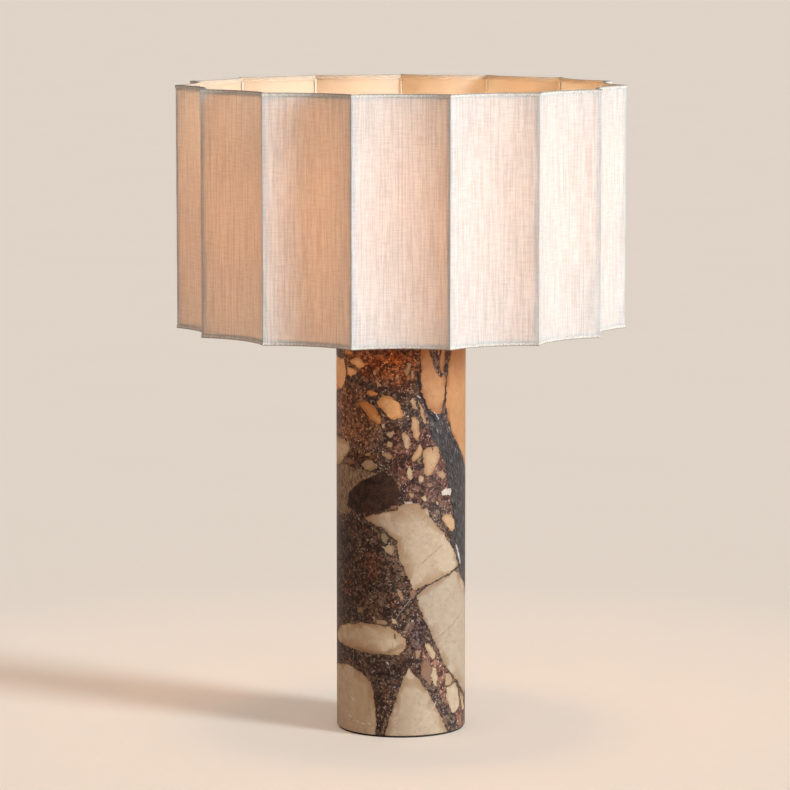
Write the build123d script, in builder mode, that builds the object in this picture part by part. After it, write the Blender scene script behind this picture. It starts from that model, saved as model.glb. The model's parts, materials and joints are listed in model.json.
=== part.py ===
"""Column table lamp: a bored marble column, a threaded lampholder and a fluted linen drum shade.

Millimetres, +Z up. The origin is the middle of the foot pad's underside and -Y is the front.
Azimuths are in degrees from the front, turning towards +X.
"""

import os
from math import cos, radians, sin, sqrt, tan

from build123d import *

os.makedirs("parts", exist_ok=True)

# ---- Driving dimensions ----
overall_height = 650.0
shade_height = 242.0
shade_diameter = 450.0  # over the ridges
flute_count = 15
flute_depth = 13.0  # how far the middle of a flute lies inside its chord
column_diameter = 130.0
column_top = 416.0
pad_thickness = 2.0

# ---- Column: a stone tube with a foot recess for the wiring and a rebate for the top plate ----
column_bore_radius = 25.0
recess_radius = 32.0
recess_top = 39.0
rebate_radius = 48.2
rebate_depth = 3.0
pad_inset = 1.5  # the pad stands back from the stone's edge

# ---- Tie rod and the plates that it clamps to the stone ----
rod_radius = 4.95
rod_bore_radius = 3.6
rod_bottom = 24.0
rod_hole_radius = 5.25
plate_thickness = 5.0
plate_bottom = recess_top - plate_thickness
washer_thickness = 1.5
nut_thickness = 5.0
top_plate_thickness = 6.0
top_plate_bottom = column_top - rebate_depth
top_plate_top = top_plate_bottom + top_plate_thickness

# ---- Cord inlet: a ribbed bushing pressed into a hole in the back of the foot ----
inlet_height = 14.0
inlet_bore_radius = 3.6
inlet_body_radius = 5.6
inlet_hole_radius = 6.0
inlet_flange_radius = 8.5
inlet_seat = 64.2  # the spot face on the stone, measured from the lamp's axis
inlet_flange_thickness = 2.2
inlet_inner_end = 40.0

# ---- Terminal block and earth tag under the base plate ----
block_centre_x = 20.5
block_size_x = 12.0
block_bottom = 18.0
block_web_bottom = 26.5
pole_spacing = 8.5
pole_width = 5.4
pole_height = 23.5
barrel_radius = 1.9
barrel_bore_radius = 1.25
clamp_screw_radius = 1.4
clamp_screw_spread = 6.0  # between a pole's two clamping screws
block_screw_radius = 1.15
block_screw_head_radius = 1.5
block_screw_head = 1.8
earth_screw_x = 6.0
earth_screw_y = 24.0
tag_thickness = 0.8
wire_diameter = 2.2

# ---- Neck and lampholder ----
holder_bottom = 445.0
rod_top = holder_bottom + 5.0
holder_flange_bottom = 467.0
holder_flange_thickness = 2.0
holder_thread_radius = 19.5
holder_thread_top = 488.0
holder_mouth = 505.0
core_bottom = 461.0
core_top = 475.0
terminal_offset = 8.5

# ---- Bulb ----
bulb_bottom = 477.0
bulb_cap_radius = 13.1
bulb_cap_bottom = 482.0
bulb_cap_top = 505.5
globe_radius = 30.0
globe_seat = 529.0
globe_centre = 555.0
globe_wall = 1.2

# ---- Shade fitter and the ring that clamps it ----
fitter_hole_radius = 20.2
fitter_outer_radius = 27.0
fitter_thickness = 2.0
running_gap = 0.3
slip_washer_thickness = 0.6
clamp_ring_radius = 28.0
clamp_ring_height = 8.0
arm_radius = 1.75
weld_depth = 0.3

# ---- Shade layers, from the outside inwards ----
binding_thickness = 0.5
linen_thickness = 0.7
liner_thickness = 0.5
frame_ring_thickness = 1.2
frame_ring_height = 4.0
strut_radius = 1.25
binding_web = 0.6
binding_outer_leg = 3.2
binding_inner_leg = 4.0

# ---- The fluted ground plan: every layer's arcs share one axis per flute, outside the shade ----
pitch = 360.0 / flute_count
half_pitch = pitch / 2
ridge_radius = shade_diameter / 2
half_chord = ridge_radius * sin(radians(half_pitch))
valley_radius = ridge_radius * cos(radians(half_pitch)) - flute_depth
flute_radius = (half_chord**2 + flute_depth**2) / (2 * flute_depth)
flute_axis_radius = valley_radius + flute_radius

linen_outside = flute_radius + binding_thickness
liner_outside = linen_outside + linen_thickness
liner_inside = liner_outside + liner_thickness
frame_ring_inside = liner_inside + frame_ring_thickness
binding_inside = frame_ring_inside + binding_thickness

shade_bottom = overall_height - shade_height
fabric_bottom = shade_bottom + binding_web
fabric_top = overall_height - binding_web
strut_azimuths = [half_pitch + pitch * ridge for ridge in range(flute_count)]
arm_azimuths = [60.0, 180.0, 300.0]

fitter_bottom = holder_flange_bottom + holder_flange_thickness + 0.2
fitter_top = fitter_bottom + fitter_thickness
slip_washer_bottom = fitter_top + running_gap
clamp_ring_bottom = slip_washer_bottom + slip_washer_thickness + running_gap


def point_at(distance, azimuth):
    """A point of the ground plan, by its distance from the lamp's axis and its azimuth."""
    return (distance * sin(radians(azimuth)), -distance * cos(radians(azimuth)))


def ridge_distance(radius):
    """How far from the lamp's axis an arc of this radius about a flute's axis meets the ridge."""
    side = flute_axis_radius * sin(radians(half_pitch))
    return flute_axis_radius * cos(radians(half_pitch)) - sqrt(radius**2 - side**2)


def flute_arc(flute, radius):
    """One flute's arc, from ridge to ridge, at this distance from the flute's axis."""
    middle = flute * pitch
    return ThreePointArc(
        point_at(ridge_distance(radius), middle - half_pitch),
        point_at(flute_axis_radius - radius, middle),
        point_at(ridge_distance(radius), middle + half_pitch),
    )


def fluted_layer(outside, inside, bottom, height):
    """Adds a closed fluted wall between two distances from the flutes' axes to the part."""
    with BuildSketch(Plane.XY.offset(bottom)) as wall:
        with BuildLine():
            for flute in range(flute_count):
                flute_arc(flute, outside)
        make_face()
        with BuildLine():
            for flute in range(flute_count):
                flute_arc(flute, inside)
        make_face(mode=Mode.SUBTRACT)
    extrude(wall.sketch, amount=height)


def ring(outer, inner, bottom, height):
    """Adds a flat round ring about the lamp's axis to the part."""
    with BuildSketch(Plane.XY.offset(bottom)) as annulus:
        Circle(outer)
        Circle(inner, mode=Mode.SUBTRACT)
    extrude(annulus.sketch, amount=height)


def hex_nut(across_flats, bottom, height):
    """Adds a hexagon nut on the tie rod to the part."""
    with BuildSketch(Plane.XY.offset(bottom)) as hexagon:
        RegularPolygon(across_flats / 2, 6, major_radius=False)
        Circle(rod_radius + 0.05, mode=Mode.SUBTRACT)
    extrude(hexagon.sketch, amount=height)


def save(part, name):
    """Labels a finished piece and writes it to its own file."""
    part.label = name
    export_step(part, f"parts/{name}.step")


# ================= Column =================
with BuildPart() as marble_column:
    with BuildSketch(Plane.XY.offset(pad_thickness)):
        Circle(column_diameter / 2)
    extrude(amount=column_top - pad_thickness)
    chamfer(marble_column.faces().sort_by(Axis.Z)[0].edges(), 0.6)
    fillet(marble_column.faces().sort_by(Axis.Z)[-1].edges(), 1.0)
    with BuildSketch(Plane.XY.offset(pad_thickness)):
        Circle(recess_radius)
    extrude(amount=recess_top - pad_thickness, mode=Mode.SUBTRACT)
    with BuildSketch(Plane.XY.offset(recess_top)):
        Circle(column_bore_radius)
    extrude(amount=top_plate_bottom - recess_top, mode=Mode.SUBTRACT)
    with BuildSketch(Plane.XY.offset(top_plate_bottom)):
        Circle(rebate_radius)
    extrude(amount=rebate_depth, mode=Mode.SUBTRACT)
    with BuildSketch(Plane(origin=(0, recess_radius - 2, inlet_height), z_dir=(0, 1, 0))):
        Circle(inlet_hole_radius)
    extrude(amount=column_diameter / 2 - recess_radius + 2, mode=Mode.SUBTRACT)
    with BuildSketch(Plane(origin=(0, inlet_seat, inlet_height), z_dir=(0, 1, 0))):
        Circle(inlet_flange_radius + 0.3)
    extrude(amount=2.0, mode=Mode.SUBTRACT)
save(marble_column.part, "marble_column")

with BuildPart() as foot_pad:
    with BuildSketch():
        Circle(column_diameter / 2 - pad_inset)
    extrude(amount=pad_thickness)
save(foot_pad.part, "foot_pad")

# ================= Base plate, tie rod and their fasteners =================
earth_screw_point = (earth_screw_x, earth_screw_y)
block_screw_points = [(block_centre_x, -pole_spacing / 2), (block_centre_x, pole_spacing / 2)]

with BuildPart() as base_plate:
    ring(recess_radius - 0.4, rod_hole_radius, plate_bottom, plate_thickness)
    chamfer(base_plate.faces().sort_by(Axis.Z)[0].outer_wire().edges(), 0.5)
    with BuildSketch(Plane.XY.offset(plate_bottom)):
        with Locations(earth_screw_point, *block_screw_points):
            Circle(block_screw_radius + 0.05)
    extrude(amount=plate_thickness, mode=Mode.SUBTRACT)
save(base_plate.part, "base_plate")

with BuildPart() as base_washer:
    ring(12.0, rod_hole_radius, plate_bottom - washer_thickness, washer_thickness)
save(base_washer.part, "base_washer")

with BuildPart() as base_nut:
    hex_nut(17.0, plate_bottom - washer_thickness - nut_thickness, nut_thickness)
save(base_nut.part, "base_nut")

with BuildPart() as tie_rod:
    ring(rod_radius, rod_bore_radius, rod_bottom, rod_top - rod_bottom)
    chamfer(tie_rod.edges().filter_by(GeomType.CIRCLE).group_by(SortBy.RADIUS)[-1], 0.5)
save(tie_rod.part, "tie_rod")

with BuildPart() as top_plate:
    ring(rebate_radius - 0.2, rod_hole_radius, top_plate_bottom, top_plate_thickness)
    chamfer(top_plate.faces().sort_by(Axis.Z)[-1].outer_wire().edges(), 1.2)
save(top_plate.part, "top_plate")

with BuildPart() as top_washer:
    ring(9.0, rod_hole_radius, top_plate_top, washer_thickness)
save(top_washer.part, "top_washer")

with BuildPart() as top_nut:
    hex_nut(14.0, top_plate_top + washer_thickness, nut_thickness)
save(top_nut.part, "top_nut")

# ================= Cord inlet =================
inlet_rib_starts = [inlet_seat - 8.0, inlet_seat - 15.0]
with BuildPart() as cord_inlet:
    with BuildSketch(Plane(origin=(0, inlet_inner_end, inlet_height), z_dir=(0, 1, 0))):
        Circle(inlet_body_radius)
    extrude(amount=inlet_seat - inlet_inner_end)
    for rib_start in inlet_rib_starts:
        with BuildSketch(Plane(origin=(0, rib_start, inlet_height), z_dir=(0, 1, 0))):
            Circle(inlet_hole_radius)
        extrude(amount=3.0)
    with BuildSketch(Plane(origin=(0, inlet_seat, inlet_height), z_dir=(0, 1, 0))):
        Circle(inlet_flange_radius)
    extrude(amount=inlet_flange_thickness)
    chamfer(cord_inlet.faces().sort_by(Axis.Y)[-1].edges(), 0.8)
    with BuildSketch(Plane(origin=(0, inlet_inner_end, inlet_height), z_dir=(0, 1, 0))):
        Circle(inlet_bore_radius)
    extrude(amount=inlet_seat + inlet_flange_thickness - inlet_inner_end, mode=Mode.SUBTRACT)
save(cord_inlet.part, "cord_inlet")

# ================= Terminal block =================
pole_centres = [-pole_spacing, 0.0, pole_spacing]
block_left = block_centre_x - block_size_x / 2
barrel_inset = 1.0  # from the block's face to the end of its brass barrels


def across_block(start_x, radius, length, mode):
    """Adds or cuts a round bar along X through each pole of the block."""
    with BuildSketch(Plane(origin=(start_x, 0, pole_height), x_dir=(0, 1, 0), z_dir=(1, 0, 0))) as bars:
        with Locations(*[(centre, 0) for centre in pole_centres]):
            Circle(radius)
    extrude(bars.sketch, amount=length, mode=mode)


def clamp_screw_bars(radius, bottom, height, mode):
    """Adds or cuts an upright round bar at each clamping screw of the block."""
    with BuildSketch(Plane.XY.offset(bottom)) as bars:
        with Locations((block_centre_x, 0)):
            with GridLocations(clamp_screw_spread, pole_spacing, 2, 3):
                Circle(radius)
    extrude(bars.sketch, amount=height, mode=mode)


with BuildPart() as terminal_block:
    with BuildSketch(Plane.XY.offset(block_bottom)):
        with Locations(*[(block_centre_x, centre) for centre in pole_centres]):
            RectangleRounded(block_size_x, pole_width, 1.2)
    extrude(amount=plate_bottom - block_bottom)
    with BuildSketch(Plane.XY.offset(block_web_bottom)):
        with Locations((block_centre_x, 0)):
            Rectangle(block_size_x - 2, 2 * pole_spacing)
    extrude(amount=plate_bottom - block_web_bottom)
    across_block(block_left + barrel_inset, barrel_radius, block_size_x - 2 * barrel_inset, Mode.SUBTRACT)
    across_block(block_left, barrel_bore_radius + 0.2, block_size_x, Mode.SUBTRACT)
    clamp_screw_bars(clamp_screw_radius + 0.1, block_bottom, pole_height - block_bottom, Mode.SUBTRACT)
    with BuildSketch(Plane.XY.offset(block_web_bottom)):
        with Locations(*block_screw_points):
            Circle(block_screw_radius + 0.1)
    extrude(amount=plate_bottom - block_web_bottom, mode=Mode.SUBTRACT)
save(terminal_block.part, "terminal_block")

with BuildPart() as terminal_barrels:
    across_block(block_left + barrel_inset, barrel_radius, block_size_x - 2 * barrel_inset, Mode.ADD)
    across_block(block_left, barrel_bore_radius, block_size_x, Mode.SUBTRACT)
    clamp_screw_bars(clamp_screw_radius, block_bottom, pole_height - block_bottom, Mode.SUBTRACT)
save(terminal_barrels.part, "terminal_barrels")

clamp_screw_bottom = block_bottom + 0.5
with BuildPart() as clamp_screws:
    clamp_screw_bars(clamp_screw_radius, clamp_screw_bottom, 3.8, Mode.ADD)
    with BuildSketch(Plane.XY.offset(clamp_screw_bottom)):
        with Locations((block_centre_x, 0)):
            with GridLocations(clamp_screw_spread, pole_spacing, 2, 3):
                Rectangle(2 * clamp_screw_radius, 0.6)
    extrude(amount=0.9, mode=Mode.SUBTRACT)
save(clamp_screws.part, "clamp_screws")

with BuildPart() as block_screws:
    with BuildSketch(Plane.XY.offset(block_web_bottom)):
        with Locations(*block_screw_points):
            Circle(block_screw_radius)
    extrude(amount=plate_bottom - block_web_bottom + 3.5)
    with BuildSketch(Plane.XY.offset(block_web_bottom - block_screw_head)):
        with Locations(*block_screw_points):
            Circle(block_screw_head_radius)
    extrude(amount=block_screw_head)
    with BuildSketch(Plane.XY.offset(block_web_bottom - block_screw_head)):
        with Locations(*block_screw_points):
            Rectangle(2 * block_screw_head_radius, 0.6)
    extrude(amount=0.8, mode=Mode.SUBTRACT)
save(block_screws.part, "block_screws")

# ================= Earth tag =================
tag_bottom = plate_bottom - tag_thickness
tag_barrel_radius = 1.75
tag_barrel_height = plate_bottom - tag_barrel_radius
tag_tongue_width = 3.0
earth_head_height = 2.4
earth_head_radius = 2.8

with BuildPart() as earth_tag:
    with BuildSketch(Plane.XY.offset(tag_bottom)):
        with Locations(earth_screw_point):
            Circle(4.0)
        with Locations((earth_screw_x, earth_screw_y - 4)):
            Rectangle(tag_tongue_width, 6.0)
        with Locations(earth_screw_point):
            Circle(block_screw_radius + 0.2, mode=Mode.SUBTRACT)
    extrude(amount=tag_thickness)
    barrel_plane = Plane(origin=(earth_screw_x, earth_screw_y - 8.3, tag_barrel_height), z_dir=(0, 1, 0))
    with BuildSketch(barrel_plane):
        Circle(tag_barrel_radius)
    extrude(amount=3.8)
    with BuildSketch(barrel_plane):
        Circle(wire_diameter / 2 + 0.15)
    extrude(amount=3.8, mode=Mode.SUBTRACT)
save(earth_tag.part, "earth_tag")

with BuildPart() as earth_screw:
    with BuildSketch(Plane.XY.offset(tag_bottom)):
        with Locations(earth_screw_point):
            Circle(block_screw_radius)
    extrude(amount=tag_thickness + plate_thickness - 0.5)
    with BuildSketch(Plane.XY.offset(tag_bottom - earth_head_height)):
        with Locations(earth_screw_point):
            Circle(earth_head_radius)
    extrude(amount=earth_head_height)
    with BuildSketch(Plane.XY.offset(tag_bottom - earth_head_height)):
        with Locations(earth_screw_point):
            Rectangle(2 * earth_head_radius, 0.9)
    extrude(amount=1.1, mode=Mode.SUBTRACT)
save(earth_screw.part, "earth_screw")


# ================= Inner wires =================
def corner_radii(points):
    """The largest arcs that a route's runs allow: 0.45 of the shorter run at each corner."""
    radii = []
    for before, here, after in zip(points, points[1:], points[2:]):
        first, second = Vector(here) - Vector(before), Vector(after) - Vector(here)
        half_turn = radians(first.get_angle(second)) / 2
        radii.append(0.45 * min(first.length, second.length) / tan(half_turn))
    return radii


def wire(name, points):
    """Sweeps one insulated wire along its route and prints its arcs and its length."""
    radii = corner_radii(points)
    with BuildPart() as piece:
        with BuildLine() as route:
            FilletPolyline(*points, radius=radii)
        path = route.wires()[0]
        with BuildSketch(Plane(origin=path @ 0, z_dir=path % 0)) as section:
            Circle(wire_diameter / 2)
        sweep(section.sketch, path=path)
    share = piece.part.volume / (section.sketch.area * path.length)
    print(name, "radii", [round(radius, 1) for radius in radii], "volume share", round(share, 4))
    save(piece.part, name)


holder_wire_end = core_bottom + 4.0
rod_lane = 1.4  # how far each wire runs from the rod's axis
pole_entry = block_left + 5.5
wire_low_point = 10.5
wire(
    "live_wire",
    [
        (0, -terminal_offset, holder_wire_end),
        (0, -terminal_offset, 458.5),
        (0, -rod_lane, 451.5),
        (0, -rod_lane, wire_low_point),
        (7.5, -6.5, wire_low_point),
        (9.2, -pole_spacing, pole_height),
        (pole_entry, -pole_spacing, pole_height),
    ],
)
wire(
    "neutral_wire",
    [
        (0, terminal_offset, holder_wire_end),
        (0, terminal_offset, 458.5),
        (0, rod_lane, 451.5),
        (0, rod_lane, wire_low_point),
        (8.5, 0.7, wire_low_point),
        (9.2, 0, pole_height),
        (pole_entry, 0, pole_height),
    ],
)
wire(
    "earth_wire",
    [
        (pole_entry, pole_spacing, pole_height),
        (11, pole_spacing, pole_height),
        (earth_screw_x, 12.5, tag_barrel_height),
        (earth_screw_x, earth_screw_y - 6, tag_barrel_height),
    ],
)

# ================= Neck and lampholder =================
neck_foot_radius = 19.0
neck_foot_height = 2.5
neck_shoulder = (16.0, top_plate_top + 3.5)
neck_waist = (12.5, holder_bottom - 5.0)
neck_lip_radius = 13.5
neck_hollow_radius = 9.6  # clears the top nut's corners
neck_roof_bottom = holder_bottom - 2.5

with BuildPart() as neck:
    with BuildSketch(Plane.XZ):
        with BuildLine():
            Polyline(
                (neck_hollow_radius, top_plate_top),
                (neck_foot_radius, top_plate_top),
                (neck_foot_radius, top_plate_top + neck_foot_height),
                neck_shoulder,
            )
            TangentArc(neck_shoulder, neck_waist, tangent=(-0.25, 1))
            Polyline(
                neck_waist,
                (neck_lip_radius, holder_bottom - 4),
                (neck_lip_radius, holder_bottom),
                (rod_hole_radius, holder_bottom),
                (rod_hole_radius, neck_roof_bottom),
                (neck_hollow_radius, neck_roof_bottom),
                (neck_hollow_radius, top_plate_top),
            )
        make_face()
    revolve(axis=Axis.Z)
save(neck.part, "neck")

cap_boss_radius = 10.0
cap_boss_top = holder_bottom + 3.5
cap_floor_top = holder_bottom + 6.0
cap_shoulder_height = 458.0
cap_inner_radius = 17.5
cap_bore_radius = rod_radius + 0.05

with BuildPart() as holder_cap:
    with BuildSketch(Plane.XZ):
        with BuildLine():
            Polyline(
                (cap_bore_radius, cap_floor_top),
                (cap_bore_radius, holder_bottom),
                (cap_boss_radius, holder_bottom),
                (cap_boss_radius, cap_boss_top),
            )
            ThreePointArc(
                (cap_boss_radius, cap_boss_top),
                (16.9, 451.9),
                (holder_thread_radius, cap_shoulder_height),
            )
            Polyline(
                (holder_thread_radius, cap_shoulder_height),
                (holder_thread_radius, holder_flange_bottom),
                (cap_inner_radius, holder_flange_bottom),
                (cap_inner_radius, cap_shoulder_height + 1),
                (cap_boss_radius, cap_floor_top),
                (cap_bore_radius, cap_floor_top),
            )
        make_face()
    revolve(axis=Axis.Z)
save(holder_cap.part, "holder_cap")

shell_inner_radius = 17.3
shell_flange_radius = 23.0
shell_plain_radius = 18.8
mouth_radius = 14.7
mouth_lip = 1.6
flange_top = holder_flange_bottom + holder_flange_thickness

with BuildPart() as holder_shell:
    with BuildSketch(Plane.XZ):
        with BuildLine():
            Polyline(
                (shell_inner_radius, holder_flange_bottom),
                (shell_flange_radius, holder_flange_bottom),
                (shell_flange_radius, flange_top),
                (holder_thread_radius, flange_top),
                (holder_thread_radius, holder_thread_top),
                (shell_plain_radius, holder_thread_top + 1),
                (shell_plain_radius, holder_mouth - 1),
                (shell_plain_radius - 1, holder_mouth),
                (mouth_radius, holder_mouth),
                (mouth_radius, holder_mouth - mouth_lip),
                (shell_inner_radius, holder_mouth - mouth_lip),
                (shell_inner_radius, holder_flange_bottom),
            )
        make_face()
    revolve(axis=Axis.Z)
save(holder_shell.part, "holder_shell")

core_radius = 17.0
terminal_size = 6.0
terminal_depth = 7.0
terminal_points = [(0, -terminal_offset), (0, terminal_offset)]

with BuildPart() as holder_core:
    with BuildSketch(Plane.XY.offset(core_bottom)):
        Circle(core_radius)
    extrude(amount=core_top - core_bottom)
    chamfer(holder_core.faces().sort_by(Axis.Z)[0].edges(), 1.0)
    with BuildSketch(Plane.XY.offset(core_bottom)):
        with Locations(*terminal_points):
            Rectangle(terminal_size, terminal_size)
    extrude(amount=terminal_depth, mode=Mode.SUBTRACT)
save(holder_core.part, "holder_core")

with BuildPart() as holder_terminals:
    with BuildSketch(Plane.XY.offset(core_bottom + 0.5)):
        with Locations(*terminal_points):
            Rectangle(terminal_size - 0.4, terminal_size - 0.4)
            Circle(wire_diameter / 2 + 0.2, mode=Mode.SUBTRACT)
    extrude(amount=terminal_depth - 0.6)
save(holder_terminals.part, "holder_terminals")

screw_shell_radius = 14.4
screw_shell_inner_radius = 13.8
screw_shell_height = 28.0
contact_window_radius = 9.5

with BuildPart() as screw_shell:
    ring(screw_shell_radius, screw_shell_inner_radius, core_top, screw_shell_height)
    ring(screw_shell_radius, contact_window_radius, core_top, 0.5)
save(screw_shell.part, "screw_shell")

leaf_thickness = 0.4
leaf_width = 6.0
leaf_foot_x = -7.5
leaf_tip_x = 3.0
leaf_top = bulb_bottom - running_gap
leaf_underside = leaf_top - leaf_thickness

with BuildPart() as centre_contact:
    with BuildSketch(Plane.XZ.offset(-leaf_width / 2)):
        Polygon(
            (leaf_foot_x, core_top),
            (leaf_foot_x + 3.0, core_top),
            (leaf_tip_x - 4.5, leaf_underside),
            (leaf_tip_x, leaf_underside),
            (leaf_tip_x, leaf_top),
            (leaf_tip_x - 4.7, leaf_top),
            (leaf_foot_x + 2.8, core_top + leaf_thickness),
            (leaf_foot_x, core_top + leaf_thickness),
            align=None,
        )
    extrude(amount=leaf_width)
save(centre_contact.part, "centre_contact")

# ================= Bulb =================
button_radius = 4.7
button_top = bulb_bottom + 1.6
insulator_radius = 12.0
cap_wall = 0.5
collar_foot = 486.0
collar_foot_radius = 12.4
collar_shoulder_radius = 14.0
globe_seat_radius = 23.0
globe_lip_radius = globe_seat_radius - globe_wall - 0.2
collar_top = globe_seat + 2.0

with BuildPart() as bulb_button:
    with BuildSketch(Plane.XZ):
        with BuildLine():
            ThreePointArc((0, bulb_bottom), (2.6, bulb_bottom + 0.3), (button_radius, bulb_bottom + 1.2))
            Polyline((button_radius, bulb_bottom + 1.2), (button_radius, button_top), (0, button_top))
            Line((0, button_top), (0, bulb_bottom))
        make_face()
    revolve(axis=Axis.Z)
save(bulb_button.part, "bulb_button")

with BuildPart() as bulb_insulator:
    with BuildSketch(Plane.XZ):
        Polygon(
            (0, button_top),
            (button_radius + 0.8, button_top),
            (insulator_radius, bulb_cap_bottom),
            (insulator_radius, bulb_cap_bottom + 1),
            (0, bulb_cap_bottom + 1),
            align=None,
        )
    revolve(axis=Axis.Z)
save(bulb_insulator.part, "bulb_insulator")

with BuildPart() as bulb_cap:
    ring(bulb_cap_radius, bulb_cap_radius - cap_wall, bulb_cap_bottom, bulb_cap_top - bulb_cap_bottom)
    ring(bulb_cap_radius, insulator_radius, bulb_cap_bottom, 1.0)
    chamfer(bulb_cap.faces().sort_by(Axis.Z)[0].outer_wire().edges(), 0.5)
save(bulb_cap.part, "bulb_cap")

with BuildPart() as bulb_collar:
    with BuildSketch(Plane.XZ):
        with BuildLine():
            Polyline(
                (0, collar_foot),
                (collar_foot_radius, collar_foot),
                (collar_foot_radius, bulb_cap_top),
                (collar_shoulder_radius, bulb_cap_top),
                (collar_shoulder_radius, bulb_cap_top + 1),
            )
            ThreePointArc(
                (collar_shoulder_radius, bulb_cap_top + 1),
                (17.4, 518.5),
                (globe_seat_radius, globe_seat),
            )
            Polyline(
                (globe_seat_radius, globe_seat),
                (globe_lip_radius, globe_seat),
                (globe_lip_radius, collar_top),
                (0, collar_top),
                (0, collar_foot),
            )
        make_face()
    revolve(axis=Axis.Z)
save(bulb_collar.part, "bulb_collar")

board_radius = 19.5
board_thickness = 1.6
chip_size = 2.8
chip_height = 0.7
chip_circle_radius = 14.0
chip_count = 12

with BuildPart() as led_board:
    with BuildSketch(Plane.XY.offset(collar_top)):
        Circle(board_radius)
    extrude(amount=board_thickness)
    with BuildSketch(Plane.XY.offset(collar_top + board_thickness)):
        with PolarLocations(chip_circle_radius, chip_count):
            Rectangle(chip_size, chip_size)
    extrude(amount=chip_height)
save(led_board.part, "led_board")

with BuildPart() as bulb_globe:
    with BuildSketch(Plane.XZ):
        with BuildLine():
            for radius in (globe_radius, globe_radius - globe_wall):
                seat = (radius - globe_radius + globe_seat_radius, globe_seat)
                TangentArc((radius, globe_centre), seat, tangent=(0, -1))
                CenterArc((0, globe_centre), radius, 0, 90)
            Line((0, globe_centre + globe_radius), (0, globe_centre + globe_radius - globe_wall))
            Line((globe_seat_radius, globe_seat), (globe_seat_radius - globe_wall, globe_seat))
        make_face()
    revolve(axis=Axis.Z)
save(bulb_globe.part, "bulb_globe")

# ================= Clamp ring and its slip washer =================
slip_washer_radius = 26.0
clamp_ring_collar_radius = 24.0
clamp_ring_bore_radius = holder_thread_radius + 0.2
grip_count = 24
grip_radius = 2.0
grip_depth = 0.8

with BuildPart() as slip_washer:
    ring(slip_washer_radius, fitter_hole_radius, slip_washer_bottom, slip_washer_thickness)
save(slip_washer.part, "slip_washer")

with BuildPart() as clamp_ring:
    ring(clamp_ring_radius, clamp_ring_bore_radius, clamp_ring_bottom, clamp_ring_height / 2)
    ring(clamp_ring_collar_radius, clamp_ring_bore_radius, clamp_ring_bottom, clamp_ring_height)
    chamfer(clamp_ring.faces().sort_by(Axis.Z)[-1].outer_wire().edges(), 0.8)
    with BuildSketch(Plane.XY.offset(clamp_ring_bottom)):
        with PolarLocations(clamp_ring_radius + grip_radius - grip_depth, grip_count):
            Circle(grip_radius)
    extrude(amount=clamp_ring_height / 2, mode=Mode.SUBTRACT)
save(clamp_ring.part, "clamp_ring")

# ================= Shade frame =================
with BuildPart() as fitter_ring:
    ring(fitter_outer_radius, fitter_hole_radius, fitter_bottom, fitter_thickness)
save(fitter_ring.part, "fitter_ring")

strut_distance = ridge_distance(liner_inside + strut_radius)
arm_start = fitter_outer_radius - 1.0
arm_end = strut_distance - strut_radius + weld_depth
arm_height = (fitter_bottom + fitter_top) / 2
for number, azimuth in enumerate(arm_azimuths, start=1):
    arm_plane = Plane(origin=(*point_at(arm_start, azimuth), arm_height), z_dir=(*point_at(1.0, azimuth), 0))
    with BuildPart() as fitter_arm:
        with BuildSketch(arm_plane):
            Circle(arm_radius)
        extrude(amount=arm_end - arm_start)
    save(fitter_arm.part, f"fitter_arm_{number}")

with BuildPart() as frame_struts:
    with BuildSketch(Plane.XY.offset(fabric_bottom + frame_ring_height)):
        with Locations(*[point_at(strut_distance, azimuth) for azimuth in strut_azimuths]):
            Circle(strut_radius)
    extrude(amount=fabric_top - fabric_bottom - 2 * frame_ring_height)
save(frame_struts.part, "frame_struts")

with BuildPart() as frame_bottom_ring:
    fluted_layer(liner_inside, frame_ring_inside, fabric_bottom, frame_ring_height)
save(frame_bottom_ring.part, "frame_bottom_ring")

with BuildPart() as frame_top_ring:
    fluted_layer(liner_inside, frame_ring_inside, fabric_top - frame_ring_height, frame_ring_height)
save(frame_top_ring.part, "frame_top_ring")

# ================= Shade cover =================
with BuildPart() as shade_liner:
    fluted_layer(liner_outside, liner_inside, fabric_bottom, fabric_top - fabric_bottom)
save(shade_liner.part, "shade_liner")

for flute in range(flute_count):
    with BuildPart() as linen_panel:
        with BuildSketch(Plane.XY.offset(fabric_bottom)):
            with BuildLine():
                outer_arc = flute_arc(flute, linen_outside)
                inner_arc = flute_arc(flute, liner_outside)
                Line(outer_arc @ 0, inner_arc @ 0)
                Line(outer_arc @ 1, inner_arc @ 1)
            make_face()
        extrude(amount=fabric_top - fabric_bottom)
    save(linen_panel.part, f"linen_panel_{flute + 1:02d}")


def edge_binding(name, web_bottom, leg_direction):
    """The folded linen strip over one rim: a web across the edge, a leg outside and a leg inside."""
    with BuildPart() as binding:
        fluted_layer(flute_radius, binding_inside, web_bottom, binding_web)
        outer_leg = binding_outer_leg - binding_web
        inner_leg = binding_inner_leg - binding_web
        if leg_direction < 0:
            outer_base, inner_base = web_bottom - outer_leg, web_bottom - inner_leg
        else:
            outer_base = inner_base = web_bottom + binding_web
        fluted_layer(flute_radius, linen_outside, outer_base, outer_leg)
        fluted_layer(frame_ring_inside, binding_inside, inner_base, inner_leg)
    save(binding.part, name)


edge_binding("top_binding", fabric_top, -1)
edge_binding("bottom_binding", shade_bottom, 1)
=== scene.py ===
# %% [markdown]
# # A column table lamp
#
# A drum shade of fifteen hollow linen panels stands on a round column of violet breccia marble.
# The shade hangs on a wire frame, a threaded ring clamps the frame to the lampholder, and a tie rod
# inside the stone holds everything together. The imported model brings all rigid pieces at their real
# size. This lesson gives every one of them its finish, and makes the soft pieces anew: the linen,
# its folded edges, the liner and the felt under the stone.

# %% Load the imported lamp
import json
from math import atan2, cos, degrees, pi, radians, sin, sqrt

import bmesh
import bpy
from mathutils import Matrix, Vector, noise


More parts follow.
